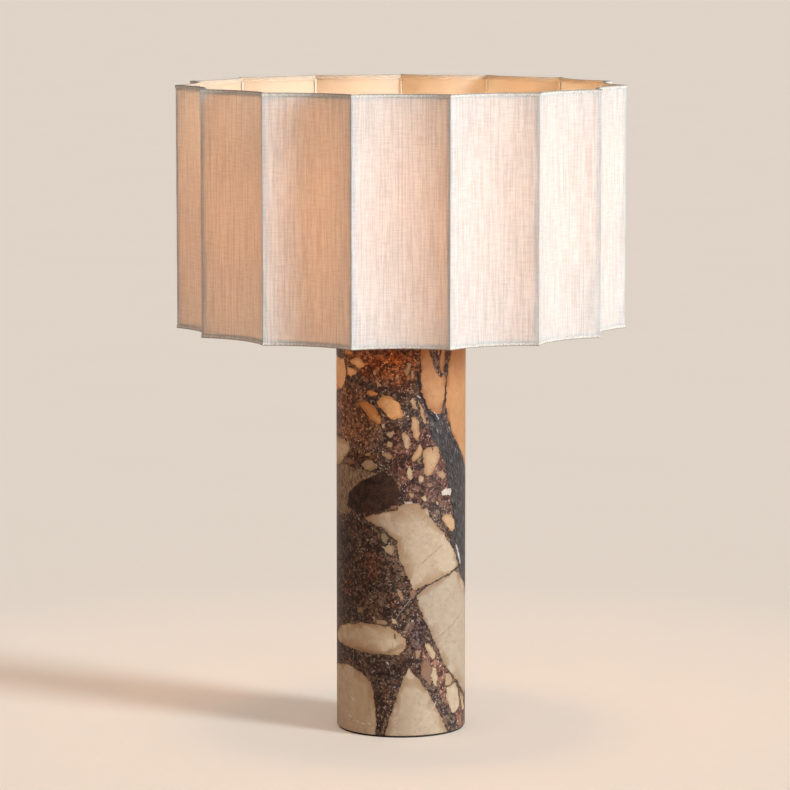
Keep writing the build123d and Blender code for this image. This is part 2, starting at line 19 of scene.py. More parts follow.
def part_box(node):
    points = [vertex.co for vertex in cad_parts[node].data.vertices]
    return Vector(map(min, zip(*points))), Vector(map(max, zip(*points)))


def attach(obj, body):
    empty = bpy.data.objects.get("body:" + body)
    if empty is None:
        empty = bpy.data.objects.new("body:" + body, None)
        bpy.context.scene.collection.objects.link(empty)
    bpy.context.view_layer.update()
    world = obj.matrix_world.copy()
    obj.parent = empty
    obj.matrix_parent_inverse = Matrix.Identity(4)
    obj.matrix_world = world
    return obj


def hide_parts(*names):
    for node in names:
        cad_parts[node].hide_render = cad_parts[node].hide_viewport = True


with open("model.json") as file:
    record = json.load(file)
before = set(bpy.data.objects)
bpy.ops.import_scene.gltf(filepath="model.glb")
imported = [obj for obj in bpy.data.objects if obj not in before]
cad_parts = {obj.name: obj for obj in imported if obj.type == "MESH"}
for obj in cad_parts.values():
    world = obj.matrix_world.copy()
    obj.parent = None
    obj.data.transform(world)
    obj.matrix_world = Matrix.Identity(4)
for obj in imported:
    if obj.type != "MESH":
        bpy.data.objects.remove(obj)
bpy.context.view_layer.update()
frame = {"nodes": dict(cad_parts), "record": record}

mm = 0.001
print("pieces in the frame:", len(frame["nodes"]))

# %% [markdown]
# ## The camera
#
# The lamp was photographed from about four metres with a long lens, looking slightly down, so its
# upright lines stay nearly parallel. A camera can be aimed with a constraint, by hand, or by plain
# angles. Plain angles are used here, because they can be read and checked. The picture is square.

# %% Camera
camera_distance = 3.865
camera_height = 0.828
camera_pitch_down = 7.23
camera_turn_left = 0.089
camera_lens = 176.5

camera_data = bpy.data.cameras.new("camera")
camera_data.lens = camera_lens
camera_data.sensor_width = 36
camera = bpy.data.objects.new("camera", camera_data)
camera.location = (0, -camera_distance, camera_height)
camera.rotation_euler = (radians(90 - camera_pitch_down), 0, radians(camera_turn_left))
bpy.context.scene.collection.objects.link(camera)
bpy.context.scene.camera = camera
print("camera at", [round(value, 3) for value in camera.location])

# %% [markdown]
# ## Light and floor
#
# A pale plain floor carries the lamp's shadow. The daylight is one wide soft sun from the right of
# the camera, and an even sky fills the shadows. Several lamps could do the same, but one sun has the
# same strength everywhere, so a colour renders about as it is written. The camera sees the sky in
# the colour that the lit floor has in the distance, so that no horizon cuts the picture.

# %% Daylight, sky and floor
sun_azimuth = 59.0
sun_elevation = 15.0
sun_strength = 4.5
sky_strength = 0.38
floor_colour = (0.90, 0.74, 0.62)
horizon_colour = (0.75, 0.67, 0.59)

sun_data = bpy.data.lights.new("daylight", "SUN")
sun_data.energy = sun_strength
sun_data.angle = radians(16)
sun_data.color = (0.70, 0.88, 1.0)
sun = bpy.data.objects.new("daylight", sun_data)
sun.rotation_euler = (radians(90 - sun_elevation), 0, radians(sun_azimuth))
bpy.context.scene.collection.objects.link(sun)

sky = bpy.data.worlds.new("sky")
sky.use_nodes = True
sky_nodes = sky.node_tree.nodes
sky_links = sky.node_tree.links
sky_nodes.clear()
sky_output = sky_nodes.new("ShaderNodeOutputWorld")
sky_mix = sky_nodes.new("ShaderNodeMixShader")
sky_light = sky_nodes.new("ShaderNodeBackground")
sky_light.inputs["Color"].default_value = (1.0, 0.98, 0.95, 1)
sky_light.inputs["Strength"].default_value = sky_strength
sky_seen = sky_nodes.new("ShaderNodeBackground")
sky_seen.inputs["Color"].default_value = (*horizon_colour, 1)
sky_seen.inputs["Strength"].default_value = 1.0
rays = sky_nodes.new("ShaderNodeLightPath")
sees_backdrop = sky_nodes.new("ShaderNodeMath")
sees_backdrop.operation = "MAXIMUM"
sky_links.new(rays.outputs["Is Camera Ray"], sees_backdrop.inputs[0])
sky_links.new(rays.outputs["Is Transmission Ray"], sees_backdrop.inputs[1])
sky_links.new(sees_backdrop.outputs[0], sky_mix.inputs["Fac"])
sky_links.new(sky_light.outputs[0], sky_mix.inputs[1])
sky_links.new(sky_seen.outputs[0], sky_mix.inputs[2])
sky_links.new(sky_mix.outputs[0], sky_output.inputs["Surface"])
bpy.context.scene.world = sky
bpy.context.scene.view_settings.view_transform = "Standard"

floor_half = 45.0
floor_mesh = bmesh.new()
bmesh.ops.create_grid(floor_mesh, x_segments=1, y_segments=1, size=floor_half)
floor_data = bpy.data.meshes.new("floor")
floor_mesh.to_mesh(floor_data)
floor_mesh.free()
floor = bpy.data.objects.new("floor", floor_data)
bpy.context.scene.collection.objects.link(floor)
print("sun at azimuth", sun_azimuth, "and elevation", sun_elevation)

# %% [markdown]
# ## Placing shader nodes
#
# A finish is a small graph of nodes. Building it with the plain calls takes five lines a node, so
# three helpers shorten that: one places a node and fills or links its sockets, one does a sum, and
# one mixes two colours. A fourth makes a reusable node group with named sockets.


# %% Helpers for shader nodes
def place(tree, kind, sockets=None, **settings):
    """Adds a node, applies its settings, and fills or links its input sockets."""
    node = tree.nodes.new("ShaderNode" + kind)
    for name, value in settings.items():
        setattr(node, name, value)
    for name, value in (sockets or {}).items():
        if isinstance(value, bpy.types.NodeSocket):
            tree.links.new(value, node.inputs[name])
        else:
            node.inputs[name].default_value = value
    return node


def work_out(tree, operation, *values, clamp=False):
    """Adds a Math node and returns its result."""
    sockets = dict(enumerate(values))
    return place(tree, "Math", sockets, operation=operation, use_clamp=clamp).outputs[0]


def vector_sum(tree, operation, first, second):
    """Adds a Vector Math node and returns its vector."""
    return place(tree, "VectorMath", {0: first, 1: second}, operation=operation).outputs[0]


def mix_colours(tree, share, first, second, blend="MIX"):
    """Mixes two colours: share 0 gives the first and share 1 the second."""
    mixer = tree.nodes.new("ShaderNodeMix")
    mixer.data_type = "RGBA"
    mixer.blend_type = blend
    for socket, value in ((mixer.inputs[0], share), (mixer.inputs[6], first), (mixer.inputs[7], second)):
        if isinstance(value, bpy.types.NodeSocket):
            tree.links.new(value, socket)
        elif isinstance(value, tuple):
            socket.default_value = (*value[:3], 1)
        else:
            socket.default_value = value
    return mixer.outputs[2]


def step_between(tree, value, low, high, start=0.0, end=1.0):
    """Rises smoothly from start to end while value goes from low to high."""
    sockets = {"Value": value, "From Min": low, "From Max": high, "To Min": start, "To Max": end}
    return place(tree, "MapRange", sockets, interpolation_type="SMOOTHSTEP").outputs[0]


def cloud(tree, vector, scale=1.0, detail=2.0, roughness=0.5):
    """Adds a noise texture and returns its value."""
    sockets = {"Vector": vector, "Scale": scale, "Detail": detail, "Roughness": roughness}
    return place(tree, "TexNoise", sockets).outputs[0]


def new_group(name, inputs, outputs):
    """Makes a node group with named inputs and outputs, and returns it with its two ends."""
    group = bpy.data.node_groups.new(name, "ShaderNodeTree")
    for socket, kind, value in inputs:
        made = group.interface.new_socket(name=socket, in_out="INPUT", socket_type="NodeSocket" + kind)
        if value is not None:
            made.default_value = value
    for socket, kind in outputs:
        group.interface.new_socket(name=socket, in_out="OUTPUT", socket_type="NodeSocket" + kind)
    entry = group.nodes.new("NodeGroupInput")
    leave = group.nodes.new("NodeGroupOutput")
    return group, entry.outputs, leave.inputs


def use_group(tree, group, sockets):
    """Places a node group and returns its outputs."""
    node = tree.nodes.new("ShaderNodeGroup")
    node.node_tree = group
    for name, value in sockets.items():
        if isinstance(value, bpy.types.NodeSocket):
            tree.links.new(value, node.inputs[name])
        else:
            node.inputs[name].default_value = value
    return node.outputs


def new_finish(name):
    """Makes a material with one Principled shader and returns the material, its tree and the shader."""
    finish = bpy.data.materials.new(name)
    finish.use_nodes = True
    tree = finish.node_tree
    tree.nodes.clear()
    shader = tree.nodes.new("ShaderNodeBsdfPrincipled")
    output = tree.nodes.new("ShaderNodeOutputMaterial")
    tree.links.new(shader.outputs[0], output.inputs["Surface"])
    return finish, tree, shader


def object_place(tree, scale=1.0 / mm):
    """The point on the object, in millimetres unless another scale is given."""
    here = place(tree, "TexCoord").outputs["Object"]
    return place(tree, "VectorMath", {0: here, "Scale": scale}, operation="SCALE").outputs[0]


def join(tree, source, shader, socket):
    """Links a value to one of the shader's sockets."""
    tree.links.new(source, shader.inputs[socket])


def bump(tree, height, distance, strength=1.0):
    """Turns a height into a normal. The distance is the relief's depth."""
    sockets = {"Height": height, "Distance": distance, "Strength": strength}
    return place(tree, "Bump", sockets).outputs[0]


print("helpers ready")

# %% [markdown]
# ## Effects that several finishes share
#
# Handling and making leave the same few traces on many pieces: fine grain in a surface, drawn lines
# along a metal, and dust. Each trace is a node group, built once and placed with its own values.
# A group gives out only masks and heights. The shader and its plain numbers stay in the material.


# %% Shared effects
def build_grain():
    """Fine grain and slow cloudiness of a moulded, cast or painted surface."""
    group, given, result = new_group(
        "fine_grain",
        [("Place", "Vector", None), ("Grain size", "Float", 0.4)],
        [("Grain", "Float"), ("Clouds", "Float")],
    )
    closer = work_out(group, "DIVIDE", 1.0, given["Grain size"])
    fine_place = place(group, "VectorMath", {0: given["Place"], "Scale": closer}, operation="SCALE").outputs[0]
    group.links.new(cloud(group, fine_place, 1.0, 3.0, 0.6), result["Grain"])
    group.links.new(cloud(group, given["Place"], 0.06, 3.0, 0.55), result["Clouds"])
    return group


def build_drawn_lines():
    """Fine lines along a turned or drawn metal. Direction is the stretch along each axis."""
    group, given, result = new_group(
        "drawn_lines",
        [("Place", "Vector", None), ("Closeness", "Vector", (4.0, 4.0, 0.1))],
        [("Lines", "Float"), ("Tarnish", "Float")],
    )
    stretched = vector_sum(group, "MULTIPLY", given["Place"], given["Closeness"])
    group.links.new(cloud(group, stretched, 1.0, 2.0, 0.6), result["Lines"])
    group.links.new(cloud(group, given["Place"], 0.12, 4.0, 0.6), result["Tarnish"])
    return group


def build_cloth():
    """Plain weave with slubs. Cloth is the place on the cloth in millimetres, weft first."""
    group, given, result = new_group(
        "slub_weave",
        [("Cloth", "Vector", None), ("Thread", "Float", 0.45), ("Slub length", "Float", 60.0)],
        [("Warp slubs", "Float"), ("Weft slubs", "Float"), ("Dark yarns", "Float"), ("Threads", "Float")],
    )
    parts = place(group, "SeparateXYZ", {0: given["Cloth"]}).outputs
    across, up = parts[0], parts[1]

    def streaks(width_across, length_up, seed):
        flat = place(
            group,
            "CombineXYZ",
            {
                0: work_out(group, "DIVIDE", across, width_across),
                1: work_out(group, "DIVIDE", up, length_up),
                2: seed,
            },
        ).outputs[0]
        return cloud(group, flat, 1.0, 2.0, 0.65)

    long_slubs = streaks(1.9, given["Slub length"], 3.0)
    short_slubs = streaks(0.9, 12.0, 11.0)
    warp = work_out(group, "ADD", work_out(group, "MULTIPLY", long_slubs, 0.65),
                    work_out(group, "MULTIPLY", short_slubs, 0.35))
    group.links.new(warp, result["Warp slubs"])
    group.links.new(streaks(16.0, 1.3, 23.0), result["Weft slubs"])
    group.links.new(step_between(group, streaks(1.3, 90.0, 37.0), 0.60, 0.70), result["Dark yarns"])
    turns = work_out(group, "DIVIDE", 2 * pi, given["Thread"])
    wave_across = work_out(group, "SINE", work_out(group, "MULTIPLY", across, turns))
    wave_up = work_out(group, "SINE", work_out(group, "MULTIPLY", up, turns))
    woven = work_out(group, "MULTIPLY", wave_across, wave_up)
    group.links.new(work_out(group, "MULTIPLY_ADD", woven, 0.5, 0.5), result["Threads"])
    return group


fine_grain = build_grain()
drawn_lines = build_drawn_lines()
slub_weave = build_cloth()
print("effects:", [group.name for group in bpy.data.node_groups])

# %% [markdown]
# ## The floor's finish
#
# The floor is a matt pale sheet. It needs next to nothing: one colour and a faint unevenness, so
# that it doesn't look like plastic. The camera sees it a little paler than it is, without more light
# on the lamp, and it is open from below, so that the foot can be looked at.

# %% Floor finish
floor_lift = 0.20
floor_finish, tree, shader = new_finish("pale_floor")
clouds = cloud(tree, object_place(tree, 1.0), 3.0, 4.0)
pale = mix_colours(tree, clouds, floor_colour, tuple(value * 0.97 for value in floor_colour))
join(tree, pale, shader, "Base Color")
shader.inputs["Roughness"].default_value = 0.8
shader.inputs["Specular IOR Level"].default_value = 0.2
seen = place(tree, "LightPath").outputs["Is Camera Ray"]
shown_lift = work_out(tree, "MULTIPLY", seen, floor_lift)
lifted = place(tree, "Emission", {"Color": (*floor_colour, 1), "Strength": shown_lift})
both = place(tree, "AddShader", {0: shader.outputs[0], 1: lifted.outputs[0]})
underside = place(tree, "NewGeometry").outputs["Backfacing"]
open_below = place(tree, "BsdfTransparent")
sided = place(tree, "MixShader", {0: underside, 1: both.outputs[0], 2: open_below.outputs[0]})
output = next(node for node in tree.nodes if node.type == "OUTPUT_MATERIAL")
tree.links.new(sided.outputs[0], output.inputs["Surface"])
floor_data.materials.append(floor_finish)
print("floor finish:", floor_finish.name)

# %% [markdown]
# ## Building meshes
#
# Each new piece starts as a small bmesh. The helpers here turn a finished bmesh into an object that
# rides on its body, and hide the CAD nodes that it stands for. Its normals are set right after its doubles are
# merged.


# %% Helpers for meshes
def finish_piece(mesh, name, body, finishes, stands_for=(), smooth_below=35.0, merge=0.02 * mm):
    """Turns a bmesh into a piece on a body, in place of the named CAD nodes."""
    bmesh.ops.remove_doubles(mesh, verts=mesh.verts, dist=merge)
    bmesh.ops.recalc_face_normals(mesh, faces=mesh.faces)
    for face in mesh.faces:
        face.smooth = True
    for edge in mesh.edges:
        edge.smooth = not edge.is_manifold or edge.calc_face_angle() < radians(smooth_below)
    data = bpy.data.meshes.new(name)
    mesh.to_mesh(data)
    mesh.free()
    piece = bpy.data.objects.new(name, data)
    bpy.context.scene.collection.objects.link(piece)
    for finish in finishes:
        data.materials.append(finish)
    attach(piece, body)
    if stands_for:
        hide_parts(*stands_for)
    return piece


def corner_points(mesh, points):
    """Adds a closed loop of points in the XZ plane and fills it."""
    return mesh.faces.new([mesh.verts.new((x, 0, z)) for x, z in points])


def turned(mesh, points, steps=96):
    """Turns a closed profile of (radius, height) points about the lamp's axis."""
    face = corner_points(mesh, points)
    outline = list(face.edges)
    bmesh.ops.delete(mesh, geom=[face], context="FACES_ONLY")
    bmesh.ops.spin(
        mesh,
        geom=outline + list({v for edge in outline for v in edge.verts}),
        cent=(0, 0, 0),
        axis=(0, 0, 1),
        angle=2 * pi,
        steps=steps,
        use_merge=True,
    )


print("mesh helpers ready")

# %% [markdown]
# ## The ground plan of the shade
#
# Fifteen struts stand on a circle, and between each pair the cloth bows inwards on an arc. All
# layers of one flute share the arc's axis, which lies outside the shade: linen, liner, frame and
# binding nest face to face. The plan is worked out once from the width over the ridges, the number
# of flutes and their depth. Everything soft is then spun about a flute's axis.

# %% Ground plan
flute_count = 15
flute_depth = 13 * mm
pitch = 2 * pi / flute_count
half_pitch = pitch / 2
ridge_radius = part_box("top_binding")[1].y
half_chord = ridge_radius * sin(half_pitch)
valley_radius = ridge_radius * cos(half_pitch) - flute_depth
flute_radius = (half_chord**2 + flute_depth**2) / (2 * flute_depth)
flute_axis_radius = valley_radius + flute_radius
half_sweep = atan2(half_chord, flute_radius - flute_depth)
spare_sweep = radians(3)

binding_thickness = 0.5 * mm
linen_thickness = 0.7 * mm
liner_thickness = 0.5 * mm
layer_gap = 0.08 * mm
frame_ring_thickness = 1.2 * mm

shade_bottom, shade_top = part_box("bottom_binding")[0].z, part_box("top_binding")[1].z
cloth_bottom, cloth_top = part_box("linen_panel_01")[0].z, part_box("linen_panel_01")[1].z
linen_outside = flute_radius + binding_thickness
liner_outside = linen_outside + linen_thickness
liner_inside = liner_outside + liner_thickness
frame_ring_inside = liner_inside + frame_ring_thickness
print("ridges at", round(ridge_radius / mm, 1), "mm, arcs of", round(flute_radius / mm, 2), "mm")


# %% Helpers for fluted pieces
def flute_axis(flute):
    """A point on a flute's axis, on the floor. Flute 0 faces the front, and the count goes right."""
    middle = flute * pitch
    return Vector((flute_axis_radius * sin(middle), -flute_axis_radius * cos(middle), 0))


def ridge_plane(azimuth):
    """The normal of the upright plane through the lamp's axis and a ridge, pointing to the right."""
    return Vector((cos(azimuth), sin(azimuth), 0))


def flute_bar(mesh, section, flute, steps):
    """Spins a closed section about one flute's axis and cuts it off at both ridge planes.

    The section's points are (distance from the flute's axis, height).
    """
    axis = flute_axis(flute)
    middle = flute * pitch
    inwards = Vector((-sin(middle), cos(middle), 0))
    sweep = half_sweep + spare_sweep
    start = Matrix.Rotation(-sweep, 3, "Z")
    corners = [mesh.verts.new(axis + start @ inwards * r + Vector((0, 0, z))) for r, z in section]
    outline = [mesh.edges.new((a, b)) for a, b in zip(corners, corners[1:] + corners[:1])]
    before = set(mesh.verts) - set(corners)
    bmesh.ops.spin(mesh, geom=corners + outline, cent=axis, axis=(0, 0, 1), angle=2 * sweep, steps=steps)
    for side in (-1, 1):
        normal = ridge_plane(middle + side * half_pitch) * side
        mine = [v for v in mesh.verts if v not in before]
        around = {f for v in mine for f in v.link_faces} | {e for v in mine for e in v.link_edges}
        bmesh.ops.bisect_plane(
            mesh,
            geom=mine + list(around),
            dist=1e-7,
            plane_co=(0, 0, 0),
            plane_no=normal,
            clear_outer=True,
        )
    return [v for v in mesh.verts if v not in before]


def around_the_lamp(mesh, count=flute_count):
    """Repeats everything in the bmesh around the lamp's axis."""
    everything = mesh.verts[:] + mesh.edges[:] + mesh.faces[:]
    bmesh.ops.spin(
        mesh,
        geom=everything,
        cent=(0, 0, 0),
        axis=(0, 0, 1),
        angle=2 * pi * (count - 1) / count,
        steps=count - 1,
        use_duplicate=True,
    )


def fuzz(mesh, depth, size):
    """Moves every point along its distance from the axis by smooth noise."""
    for vert in mesh.verts:
        away = Vector((vert.co.x, vert.co.y, 0)).normalized()
        vert.co += away * depth * noise.noise(vert.co / size)


print("cut at ridge planes", degrees(half_pitch), "degrees to each side of a flute's middle")

# %% [markdown]
# ## Linen
#
# The shade is covered with off-white slub linen: thick and thin yarns run up the panels as irregular
# streaks, with finer weft lines across. A picture would be easy, but it would have one resolution.
# The cloth here is worked out from the place on the cloth, in millimetres, which each panel carries
# as its own map. A lit shade needs light to pass through it: the shader mixes a matt cloth with a
# translucent one, and thick yarns let less through.


# %% Linen finish
def linen_finish(name, passes, lightness=1.0):
    """Slub linen that lets a share of the light through."""
    finish, tree, shader = new_finish(name)
    mapped = place(tree, "UVMap", uv_map="cloth").outputs[0]
    on_cloth = place(tree, "VectorMath", {0: mapped, "Scale": 1 / mm}, operation="SCALE").outputs[0]
    weave = use_group(tree, slub_weave, {"Cloth": on_cloth})
    warp = step_between(tree, weave["Warp slubs"], 0.36, 0.62)
    weft = step_between(tree, weave["Weft slubs"], 0.36, 0.62)
    pale = tuple(lightness * value for value in (0.94, 0.94, 0.92))
    deep = tuple(lightness * value for value in (0.74, 0.69, 0.64))
    shade = work_out(tree, "ADD", work_out(tree, "MULTIPLY", warp, 0.70), work_out(tree, "MULTIPLY", weft, 0.30))
    shade = work_out(tree, "MULTIPLY_ADD", weave["Dark yarns"], -0.60, shade, clamp=True)
    colour = mix_colours(tree, shade, deep, pale)
    join(tree, colour, shader, "Base Color")
    shader.inputs["Roughness"].default_value = 0.9
    shader.inputs["Specular IOR Level"].default_value = 0.15
    shader.inputs["Sheen Weight"].default_value = 0.1
    shader.inputs["Sheen Roughness"].default_value = 0.5
    relief = work_out(tree, "ADD", work_out(tree, "MULTIPLY", shade, 0.7),
                      work_out(tree, "MULTIPLY", weave["Threads"], 0.3))
    normal = bump(tree, relief, 0.25 * mm)
    join(tree, normal, shader, "Normal")
    through = place(tree, "BsdfTranslucent", {"Color": mix_colours(tree, shade, (0.77, 0.62, 0.47),
                                                                  (0.96, 0.82, 0.66))})
    mixed = place(tree, "MixShader", {0: passes, 1: shader.outputs[0], 2: through.outputs[0]})
    output = next(node for node in tree.nodes if node.type == "OUTPUT_MATERIAL")
    tree.links.new(mixed.outputs[0], output.inputs["Surface"])
    return finish


linen_front = linen_finish("slub_linen_front", 0.42)
linen_back = linen_finish("slub_linen_back", 0.88)
print("linen finishes:", linen_front.name, linen_back.name)

# %% [markdown]
# ## The fifteen linen panels
#
# Each panel is a piece of linen sprung between two struts. It is a thin closed sheet: a section of
# four points is spun about the flute's axis, cut at the ridge planes so that neighbours meet without
# a gap, closed, and subdivided upwards, so that it can follow the slight unevenness of stretched
# cloth. A Solidify modifier would thicken a single sheet just as well, but its ends would stand
# square to the arc and not on the ridge planes.

# %% Linen panels
panel_steps = 28
panel_rows = 24
stretch_depth = 0.16 * mm
stretch_size = 14 * mm


def close_ends(mesh):
    """Fills the open ends that the ridge cuts left."""
    bmesh.ops.holes_fill(mesh, edges=[e for e in mesh.edges if e.is_boundary], sides=0)


def map_cloth(mesh, flute):
    """Writes each face corner's place on the flat cloth, in metres, with u along the arc."""
    layer = mesh.loops.layers.uv.new("cloth")
    axis = flute_axis(flute)
    middle = flute * pitch
    for face in mesh.faces:
        for loop in face.loops:
            out = loop.vert.co - axis
            angle = atan2(out.x * cos(middle) + out.y * sin(middle), -out.x * sin(middle) + out.y * cos(middle))
            loop[layer].uv = (angle * linen_outside + (flute + 0.5) * 0.11, loop.vert.co.z)


def linen_panel(flute):
    """One stretched panel of linen, as a closed thin sheet."""
    mesh = bmesh.new()
    inner = liner_outside - layer_gap
    section = [
        (linen_outside, cloth_bottom),
        (linen_outside, cloth_top),
        (inner, cloth_top),
        (inner, cloth_bottom),
    ]
    flute_bar(mesh, section, flute, panel_steps)
    bmesh.ops.remove_doubles(mesh, verts=mesh.verts, dist=0.01 * mm)
    upright = [e for e in mesh.edges if abs(e.verts[0].co.z - e.verts[1].co.z) > 10 * mm]
    bmesh.ops.subdivide_edges(mesh, edges=upright, cuts=panel_rows - 1, use_grid_fill=True)
    close_ends(mesh)
    fuzz(mesh, stretch_depth, stretch_size)
    map_cloth(mesh, flute)
    axis = flute_axis(flute)
    between = (linen_outside + inner) / 2
    for face in mesh.faces:
        out = face.calc_center_median() - axis
        face.material_index = 0 if Vector((out.x, out.y)).length < between else 1
    return finish_piece(
        mesh,
        f"linen_{flute + 1:02d}",
        "shade",
        [linen_front, linen_back],
        [f"linen_panel_{flute + 1:02d}"],
    )


for flute in range(flute_count):
    panel = linen_panel(flute)
print("last panel:", len(panel.data.polygons), "faces")

# %% [markdown]
# ## The liner
#
# Behind the linen stands a thin translucent sheet that gives the shade its even glow and is all that
# is seen when looking in over the rim. It is one endless fluted wall: one flute's bar is spun and
# cut, repeated fifteen times about the lamp's axis, and welded at the ridges. It could also be made
# as one flat strip bent along the plan, but the spin keeps it exactly behind the linen.


# %% Liner finish and liner
def liner_finish():
    """A matt translucent sheet with a faint fibrous cloudiness."""
    finish, tree, shader = new_finish("laminated_liner")
    here = object_place(tree)
    grain = use_group(tree, fine_grain, {"Place": here, "Grain size": 1.6})
    colour = mix_colours(tree, grain["Clouds"], (0.78, 0.73, 0.65), (0.84, 0.79, 0.71))
    join(tree, colour, shader, "Base Color")
    shader.inputs["Roughness"].default_value = 0.55
    shader.inputs["Specular IOR Level"].default_value = 0.3
    join(tree, bump(tree, grain["Grain"], 0.02 * mm), shader, "Normal")
    passed = mix_colours(tree, grain["Grain"], (0.92, 0.90, 0.87), (0.97, 0.96, 0.94))
    through = place(tree, "BsdfTranslucent", {"Color": passed})
    mixed = place(tree, "MixShader", {0: 0.80, 1: shader.outputs[0], 2: through.outputs[0]})
    output = next(node for node in tree.nodes if node.type == "OUTPUT_MATERIAL")
    tree.links.new(mixed.outputs[0], output.inputs["Surface"])
    return finish


mesh = bmesh.new()
liner_section = [
    (liner_outside, cloth_bottom),
    (liner_outside, cloth_top),
    (liner_inside, cloth_top),
    (liner_inside, cloth_bottom),
]
flute_bar(mesh, liner_section, 0, panel_steps)
around_the_lamp(mesh)
liner = finish_piece(mesh, "liner", "shade", [liner_finish()], ["shade_liner"], smooth_below=30)

# %% [markdown]
# ## The bindings
#
# A strip of the same linen, folded over each rim, hides the frame ring and the cut edges of linen
# and liner. Its section is a rounded U: a short leg outside, a web across the rim and a longer leg
# inside. The section is drawn once for the top and mirrored for the bottom, spun about one flute's
# axis, repeated round the lamp, and roughened a little, because folded cloth is never straight.
# The finish paints a dark shadow line along the fold at each rim, and the inner leg is the same linen in a darker
# colour, as painted shade.

# %% Binding finish and bindings
outer_leg = 3.2 * mm
inner_leg = 4.0 * mm
web = 0.6 * mm
fold_round = 0.45 * mm
binding_steps = 44
binding_inside = frame_ring_inside + binding_thickness


def binding_finish(name, deep, pale, rim_shadow_share):
    """Folded linen tape, with a painted shadow line along the fold at each rim."""
    finish, tree, shader = new_finish(name)
    here = object_place(tree)
    grain = use_group(tree, fine_grain, {"Place": here, "Grain size": 0.8})
    ribs = use_group(tree, drawn_lines, {"Place": here, "Closeness": (1.1, 1.1, 0.5)})
    worn = work_out(tree, "ADD", work_out(tree, "MULTIPLY", grain["Grain"], 0.5),
                    work_out(tree, "MULTIPLY", ribs["Lines"], 0.5))
    colour = mix_colours(tree, step_between(tree, worn, 0.40, 0.60), deep, pale)
    height = place(tree, "SeparateXYZ", {0: here}).outputs[2]
    from_top = work_out(tree, "SUBTRACT", shade_top / mm, height)
    from_bottom = work_out(tree, "SUBTRACT", height, shade_bottom / mm)
    from_rim = work_out(tree, "MINIMUM", from_top, from_bottom)
    # painted shadow: a dark line along the fold at each rim, the shade under the folded edge
    folded = step_between(tree, from_rim, 0.5, 1.3, rim_shadow_share, 0.0)
    colour = mix_colours(tree, folded, colour, (0.20, 0.165, 0.14))
    join(tree, colour, shader, "Base Color")
    shader.inputs["Roughness"].default_value = 0.95
    shader.inputs["Specular IOR Level"].default_value = 0.1
    join(tree, bump(tree, worn, 0.3 * mm), shader, "Normal")
    return finish


def fold_section(rim, inwards):
    """The folded strip's outline at a rim. inwards is -1 where the legs hang and 1 where they stand."""
    outer, inner = flute_radius, binding_inside
    return [
        (outer, rim + inwards * outer_leg),
        (outer, rim + inwards * fold_round),
        (outer + fold_round * 0.3, rim + inwards * fold_round * 0.3),
        (outer + fold_round, rim),
        (inner - fold_round, rim),
        (inner - fold_round * 0.3, rim + inwards * fold_round * 0.3),
        (inner, rim + inwards * fold_round),
        (inner, rim + inwards * inner_leg),
        (inner - binding_thickness, rim + inwards * inner_leg),
        (inner - binding_thickness, rim + inwards * web),
        (outer + binding_thickness, rim + inwards * web),
        (outer + binding_thickness, rim + inwards * outer_leg),
    ]


tape_outside = binding_finish("folded_linen_tape", (0.50, 0.40, 0.32), (0.88, 0.73, 0.62), 0.62)
# painted shade: the inner leg is the same linen as the outer, given a darker colour
tape_inside_painted_shade = binding_finish("inner_linen_tape_painted_shade", (0.36, 0.31, 0.25), (0.46, 0.40, 0.33), 0.1)
for name, rim, inwards in (("top_binding", shade_top, -1), ("bottom_binding", shade_bottom, 1)):
    mesh = bmesh.new()
    flute_bar(mesh, fold_section(rim, inwards), 0, binding_steps)
    for face in mesh.faces:
        out = face.calc_center_median() - flute_axis(0)
        face.material_index = 1 if Vector((out.x, out.y)).length > liner_inside else 0
    around_the_lamp(mesh)
    bmesh.ops.remove_doubles(mesh, verts=mesh.verts, dist=0.02 * mm)
    fuzz(mesh, 0.22 * mm, 3.1 * mm)
    tapes = [tape_outside, tape_inside_painted_shade]
    binding = finish_piece(mesh, name + "_tape", "shade", tapes, [name], smooth_below=50)

# %% [markdown]
# ## The felt under the stone
#
# A disc of dark felt keeps the stone off the table and shows as a thin dark line. It is cut from a
# circle, thickened by an extrusion, and its edges are beveled and roughened, as cut felt is.

# %% Felt foot
felt_low, felt_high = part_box("foot_pad")
felt_radius = felt_high.x
felt_thickness = felt_high.z - felt_low.z


def felt_finish():
    """Pressed dark wool with a matted surface."""
    finish, tree, shader = new_finish("pressed_dark_felt")
    grain = use_group(tree, fine_grain, {"Place": object_place(tree), "Grain size": 0.5})
    colour = mix_colours(tree, step_between(tree, grain["Grain"], 0.3, 0.7), (0.010, 0.009, 0.009),
                         (0.045, 0.040, 0.038))
    join(tree, colour, shader, "Base Color")
    shader.inputs["Roughness"].default_value = 1.0
    shader.inputs["Specular IOR Level"].default_value = 0.1
    join(tree, bump(tree, grain["Grain"], 0.3 * mm), shader, "Normal")
    return finish


mesh = bmesh.new()
disc = bmesh.ops.create_circle(mesh, cap_ends=True, segments=160, radius=felt_radius)
raised = bmesh.ops.extrude_face_region(mesh, geom=mesh.faces[:])
bmesh.ops.translate(
    mesh,
    verts=[item for item in raised["geom"] if isinstance(item, bmesh.types.BMVert)],
    vec=(0, 0, felt_thickness),
)
rim_edges = [e for e in mesh.edges if abs(e.verts[0].co.z - e.verts[1].co.z) < 1e-6]
bmesh.ops.bevel(mesh, geom=rim_edges, offset=0.4 * mm, segments=2, profile=0.5, affect="EDGES", material=-1)
for vert in mesh.verts:
    away = Vector((vert.co.x, vert.co.y, 0)).normalized()
    vert.co += away * 0.15 * mm * (noise.noise(vert.co / (1.3 * mm)) - 0.4)
felt = finish_piece(mesh, "felt_foot", "lamp_base", [felt_finish()], ["foot_pad"])
print("felt:", len(felt.data.polygons), "faces,", round(felt_thickness / mm, 1), "mm thick")

